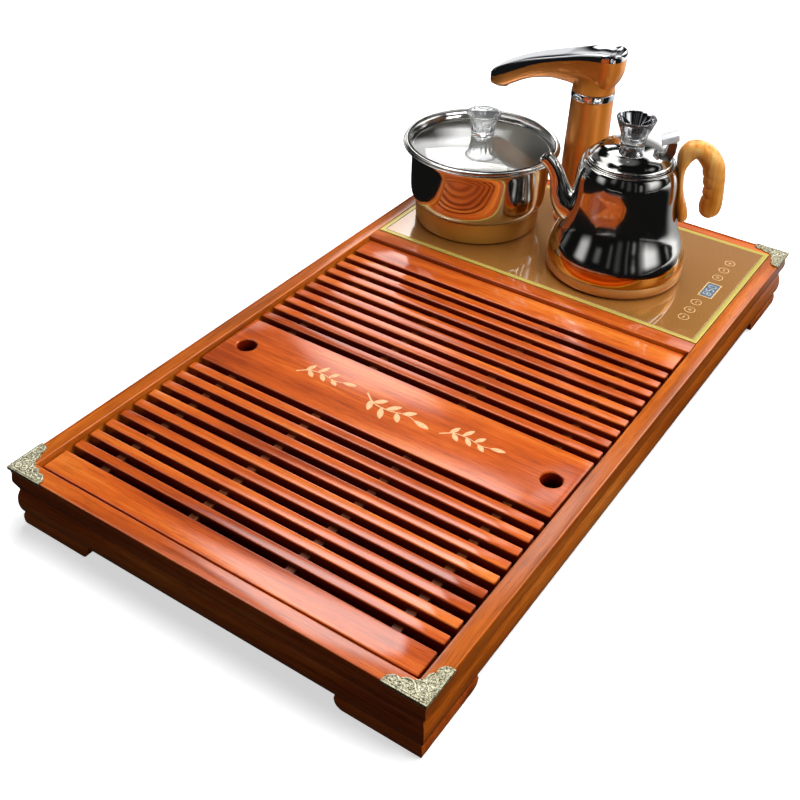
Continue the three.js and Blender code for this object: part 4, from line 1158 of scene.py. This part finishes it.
def head_piece(name, grid, finish, node):
    """Places a closed part of the head on the tap's axis."""
    grid = grid + [tap[0], tap[1], over_glass]
    mesh = mesh_from(name, grid, crisp=38)
    piece(name, mesh, finish, "tap_arm", [node] if node else ())


rows = head_stations
level, under, crest = rows[:, 3], rows[:, 2], rows[:, 4]
arm = head_rings(rows, level, under, 0.62, 41)
head_piece("tap_arm_shell", capped(arm), tap_gold, "tap_head")
cover = head_rings(rows, level + 0.3, crest, 0.3, 65)
# The cover's top is dished by up to 3 mm at the tail: it sinks where it lies above its own side band.
share = 1 - (cover[..., 1] / rows[:, 1][:, None]) ** 2
raised = np.clip((cover[..., 2] - level[:, None] - 0.4) / (crest - level)[:, None], 0, 1) ** 4
near_tail = np.clip((30 + cover[..., 0]) / 30, 0, 1) * np.clip((30.2 - cover[..., 0]) / 12, 0, 1)
cover[..., 2] -= 3.2 * near_tail * share * raised
head_piece("tap_cover_shell", capped(cover), chrome, "tap_cover")

# The neck leaves the ring round and spreads forward into the arm as the square of its height.
t = np.linspace(0, 1, 14)[:, None]
a = np.linspace(0, 2 * np.pi, 64, endpoint=False)[None]
reach = 22.4 + np.where(np.cos(a) > 0, 1.4, 14.0) * t**2
side = 22.4 - 3.6 * np.sin(t * np.pi / 2)
neck = np.stack([reach * np.cos(a), side * np.sin(a), 151.2 + 16.8 * t + 0 * a], axis=-1)
head_piece("tap_neck", capped(neck), tap_gold, None)
nozzle = [(0, 4), (4.6, 4), (4.6, -0.4), (5.4, -0.6), (7.2, -0.4), (7.4, 0.2), (7.6, 4), (0, 5)]
nozzle = turned(nozzle, (-109.4, 0), 129.6, 40)
head_piece("tap_outlet", nozzle, chrome, None)
spigot = turned([(0, 0), (8.2, 0), (9.0, 0.8), (9.0, 24), (0, 24)], (0, 0), 129.6, 40)
head_piece("tap_spigot", spigot, chrome, None)

# ---- Solids that stay ---------------------------------------------------------------------

for node, finish in (
    ("bottom_board", board_wood),
    ("water_pan", pan_plastic),
    ("hob_housing", housing_plastic),
    ("coil_pot", copper_winding),
    ("coil_kettle", copper_winding),
    ("batten_1", batten_wood),
    ("batten_2", batten_wood),
    ("batten_3", batten_wood),
    ("batten_4", batten_wood),
):
    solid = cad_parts[node]
    solid.data.materials.clear()
    solid.data.materials.append(finish)


# ---- Studio -------------------------------------------------------------------------------


def stage_card(name, corners, material):
    """A flat card of the studio, four corners in metres."""
    mesh = bpy.data.meshes.new(name)
    mesh.from_pydata(corners, [], [(0, 1, 2, 3)])
    mesh.materials.append(material)
    card = bpy.data.objects.new(name, mesh)
    bpy.context.scene.collection.objects.link(card)
    return card


def shown_to_eye(tree):
    """One for rays from the camera, from polished surfaces and through clear parts, zero for the others."""
    path = add(tree, "LightPath").outputs
    seen = {0: path["Is Camera Ray"], 1: path["Is Glossy Ray"]}
    seen = add(tree, "Math", {"operation": "MAXIMUM"}, seen).outputs[0]
    return add(tree, "Math", {"operation": "MAXIMUM"}, {0: seen, 1: path["Is Transmission Ray"]}).outputs[0]


def floor_finish():
    """Pale studio floor: white to the eye and in metal and glass, shaded where the object's shadow falls."""
    material = bpy.data.materials.new("Pale floor")
    material.use_nodes = True
    tree = material.node_tree
    shader = tree.nodes["Principled BSDF"]
    shader_set(shader, {"Base Color": linear("f4f4f4"), "Roughness": 0.9})
    seen = shown_to_eye(tree)
    # Near the object the lamps light the floor; further out its own glow takes over, so that it stays even.
    place = add(tree, "TexCoord").outputs["Object"]
    away = add(tree, "VectorMath", {"operation": "LENGTH"}, {0: place}).outputs["Value"]
    spread = {"Value": away, "From Min": 0.8, "From Max": 1.9, "To Min": 0.62, "To Max": 1.0}
    strength = add(tree, "MapRange", {}, spread).outputs["Result"]
    glow = add(tree, "Emission", {}, {"Color": linear("ffffff"), "Strength": strength})
    both = add(tree, "AddShader", {}, {0: shader.outputs[0], 1: glow.outputs[0]})
    mix = add(tree, "MixShader", {}, {0: seen, 1: shader.outputs[0], 2: both.outputs[0]})
    tree.links.new(mix.outputs[0], tree.nodes["Material Output"].inputs["Surface"])
    return material


def lamp(name, azimuth, elevation, distance, width, height, power, target=(0.0, 0.0, 0.1)):
    """A softbox at an azimuth and elevation round the target, facing it."""
    light = bpy.data.lights.new(name, "AREA")
    light.shape = "RECTANGLE"
    light.size, light.size_y, light.energy = width, height, power
    thing = bpy.data.objects.new(name, light)
    a, e = math.radians(azimuth), math.radians(elevation)
    away = np.array([math.cos(a) * math.cos(e), math.sin(a) * math.cos(e), math.sin(e)])
    turn = Matrix.Rotation(a + math.pi / 2, 4, "Z") @ Matrix.Rotation(math.pi / 2 - e, 4, "X")
    thing.matrix_world = Matrix.Translation(np.array(target) + away * distance) @ turn
    bpy.context.scene.collection.objects.link(thing)
    thing.visible_glossy = False
    return thing


stage_card("floor", [(-6, -6, 0), (6, -6, 0), (6, 6, 0), (-6, 6, 0)], floor_finish())


def seen_by(card, **rays):
    """Says which kinds of ray meet a studio card; the camera and shadow rays never do."""
    for kind in ("camera", "diffuse", "glossy", "transmission", "shadow"):
        setattr(card, "visible_" + kind, rays.get(kind, False))


def soft_step(distance, half, soft):
    """One inside the half width, zero outside it, and a smooth 3t^2 - 2t^3 fade over the soft width."""
    t = np.clip((half + soft - np.abs(distance)) / (2 * soft), 0, 1)
    return 3 * t**2 - 2 * t**3


def soft_lobes(azimuth, elevation, lobes):
    """Sum of soft boxes in degrees: (azimuth, half width, elevation, half height, soft width, strength)."""
    total = 0 * azimuth
    for middle, wide, level, high, soft, strength in lobes:
        turn = (azimuth - middle + 180) % 360 - 180
        total = total + strength * soft_step(turn, wide, soft) * soft_step(elevation - level, high, soft)
    return total


def glow_card(name, grid, columns_close, glow):
    """A studio card whose points glow by the given amounts, seen in polished surfaces only."""
    rows, columns = grid.shape[:2]
    mesh = bpy.data.meshes.new(name)
    mesh.from_pydata(grid.reshape(-1, 3), [], quads(rows, columns, close_columns=columns_close).tolist())
    mesh.attributes.new("glow", "FLOAT", "POINT").data.foreach_set("value", glow.ravel().astype(np.float32))
    mesh.materials.append(glow_cloth)
    mesh.shade_smooth()
    card = bpy.data.objects.new(name, mesh)
    bpy.context.scene.collection.objects.link(card)
    seen_by(card, glossy=True, transmission=True)
    return card


def lit_cloth():
    """Diffusion cloth round the table, lit from behind: it glows by the amount written on its points."""
    material, tree, shader = new_finish("Lit diffusion cloth")
    amount = add(tree, "Attribute", {"attribute_name": "glow"}).outputs["Fac"]
    shader_set(shader, {"Base Color": linear("000000"), "Roughness": 1.0, "Specular IOR Level": 0.0})
    shader_set(shader, {"Emission Color": linear("ffffff")})
    tree.links.new(amount, shader.inputs["Emission Strength"])
    # Straight through clear parts the white background shows; past a polished surface the cloth does.
    path = add(tree, "LightPath")
    past = {0: path.outputs["Glossy Depth"], 1: path.outputs["Is Diffuse Ray"]}
    turned_back = add(tree, "Math", {"operation": "MAXIMUM"}, past).outputs[0]
    open_cloth = add(tree, "BsdfTransparent")
    mix = add(tree, "MixShader", {}, {0: turned_back, 1: open_cloth.outputs[0], 2: shader.outputs[0]})
    tree.links.new(mix.outputs[0], tree.nodes["Material Output"].inputs["Surface"])
    return material


glow_cloth = lit_cloth()
x, y = np.meshgrid(np.arange(-2.4, 2.41, 0.04), np.arange(-2.4, 2.41, 0.04))
around, reach = np.degrees(np.arctan2(y - 0.24, x - 0.03)), np.hypot(x - 0.03, y - 0.24)
table = 0.008 + 0.4 * soft_step(around - 64, 24, 12) * soft_step(reach - 1.35, 1.1, 0.12)
table += 0.1 * soft_step(x - 0.1, 0.2, 0.2) * soft_step(y + 0.75, 0.15, 0.15)
table += 0.9 * soft_step(y - 1.7, 0.9, 0.25)
flag = glow_card("table_flag", np.stack([x, y, 0 * x + 0.0005], axis=-1), False, table)
flag.visible_diffuse = True
azimuth, elevation = np.meshgrid(np.arange(0, 360, 2.0), np.arange(0, 89, 1.5))
glow = 0.006 + soft_lobes(
    azimuth,
    elevation,
    (
        (0, 180, 90, 16, 6, 0.12),
        (202, 50, 64, 10, 4, 1.6),
        (201, 14, 63, 3, 3, 7.0),
        (125, 5.5, 32.5, 5.5, 1.5, 3.2),
        (120, 4, 25.5, 4, 1, 3.0),
        (131, 17, 56.5, 7, 3.5, 6.0),
        (196, 20, 44, 12, 4, 1.4),
        (104, 6, 49, 5, 4, 2.5),
        (56, 5, 14, 10, 4, 2.4),
        (144, 8, 18, 8, 4, 1.2),
        (108, 32, 4, 8, 5, 0.9),
        (72, 20, 42, 12, 5, 3.0),
        (98, 12, 20, 7, 5, 0.35),
        (160, 30, 14, 12, 6, 0.15),
        (2, 13, 21, 13, 8, 1.1),
        (230, 9, 16, 8, 6, 0.6),
        (330, 2, 12, 7, 3, 0.25),
        (318, 1.5, 20, 16, 2, 0.07),
        (343, 3, 20, 18, 3, 0.1),
        (354, 1, 24, 20, 2, 0.16),
        (302, 4, 26, 20, 4, 0.05),
        (286, 2, 30, 18, 3, 0.08),
        (262, 5, 34, 16, 4, 0.12),
        (36, 2, 30, 26, 3, 0.5),
        (46, 3, 30, 26, 3, 0.2),
    ),
)
a, e = np.radians(azimuth), np.radians(elevation)
sphere = np.stack([np.cos(a) * np.cos(e), np.sin(a) * np.cos(e), np.sin(e)], axis=-1) * 2.6
glow_card("diffusion_dome", sphere, True, glow)

world = bpy.data.worlds.new("studio")
bpy.context.scene.world = world
world.use_nodes = True
tree = world.node_tree
seen = shown_to_eye(tree)
strength = add(tree, "MapRange", {}, {"Value": seen, "To Min": 0.14, "To Max": 1.0})
sky = tree.nodes["Background"]
sky.inputs["Color"].default_value = (1, 1, 1, 1)
tree.links.new(strength.outputs["Result"], sky.inputs["Strength"])

lamp("sheen_softbox", 121, 40, 2.2, 0.5, 0.9, 8)
lamp("overhead_softbox", 60, 78, 1.9, 1.3, 1.3, 49)
lamp("right_softbox", 4, 32, 1.7, 0.8, 0.6, 18)

lens = bpy.data.cameras.new("photo_view")
lens.lens = 49.724
lens.sensor_width = 36
lens.shift_x = -0.00315
lens.shift_y = -0.00113
camera = bpy.data.objects.new("photo_view", lens)
aim = Matrix.Rotation(math.radians(32.644), 4, "Z") @ Matrix.Rotation(math.radians(52.258), 4, "X")
roll = Matrix.Rotation(math.radians(2.138), 4, "Z")
camera.matrix_world = Matrix.Translation((0.42524, -0.75451, 0.66527)) @ aim @ roll
bpy.context.scene.collection.objects.link(camera)
bpy.context.scene.camera = camera
bpy.context.scene.view_settings.view_transform = "Standard"
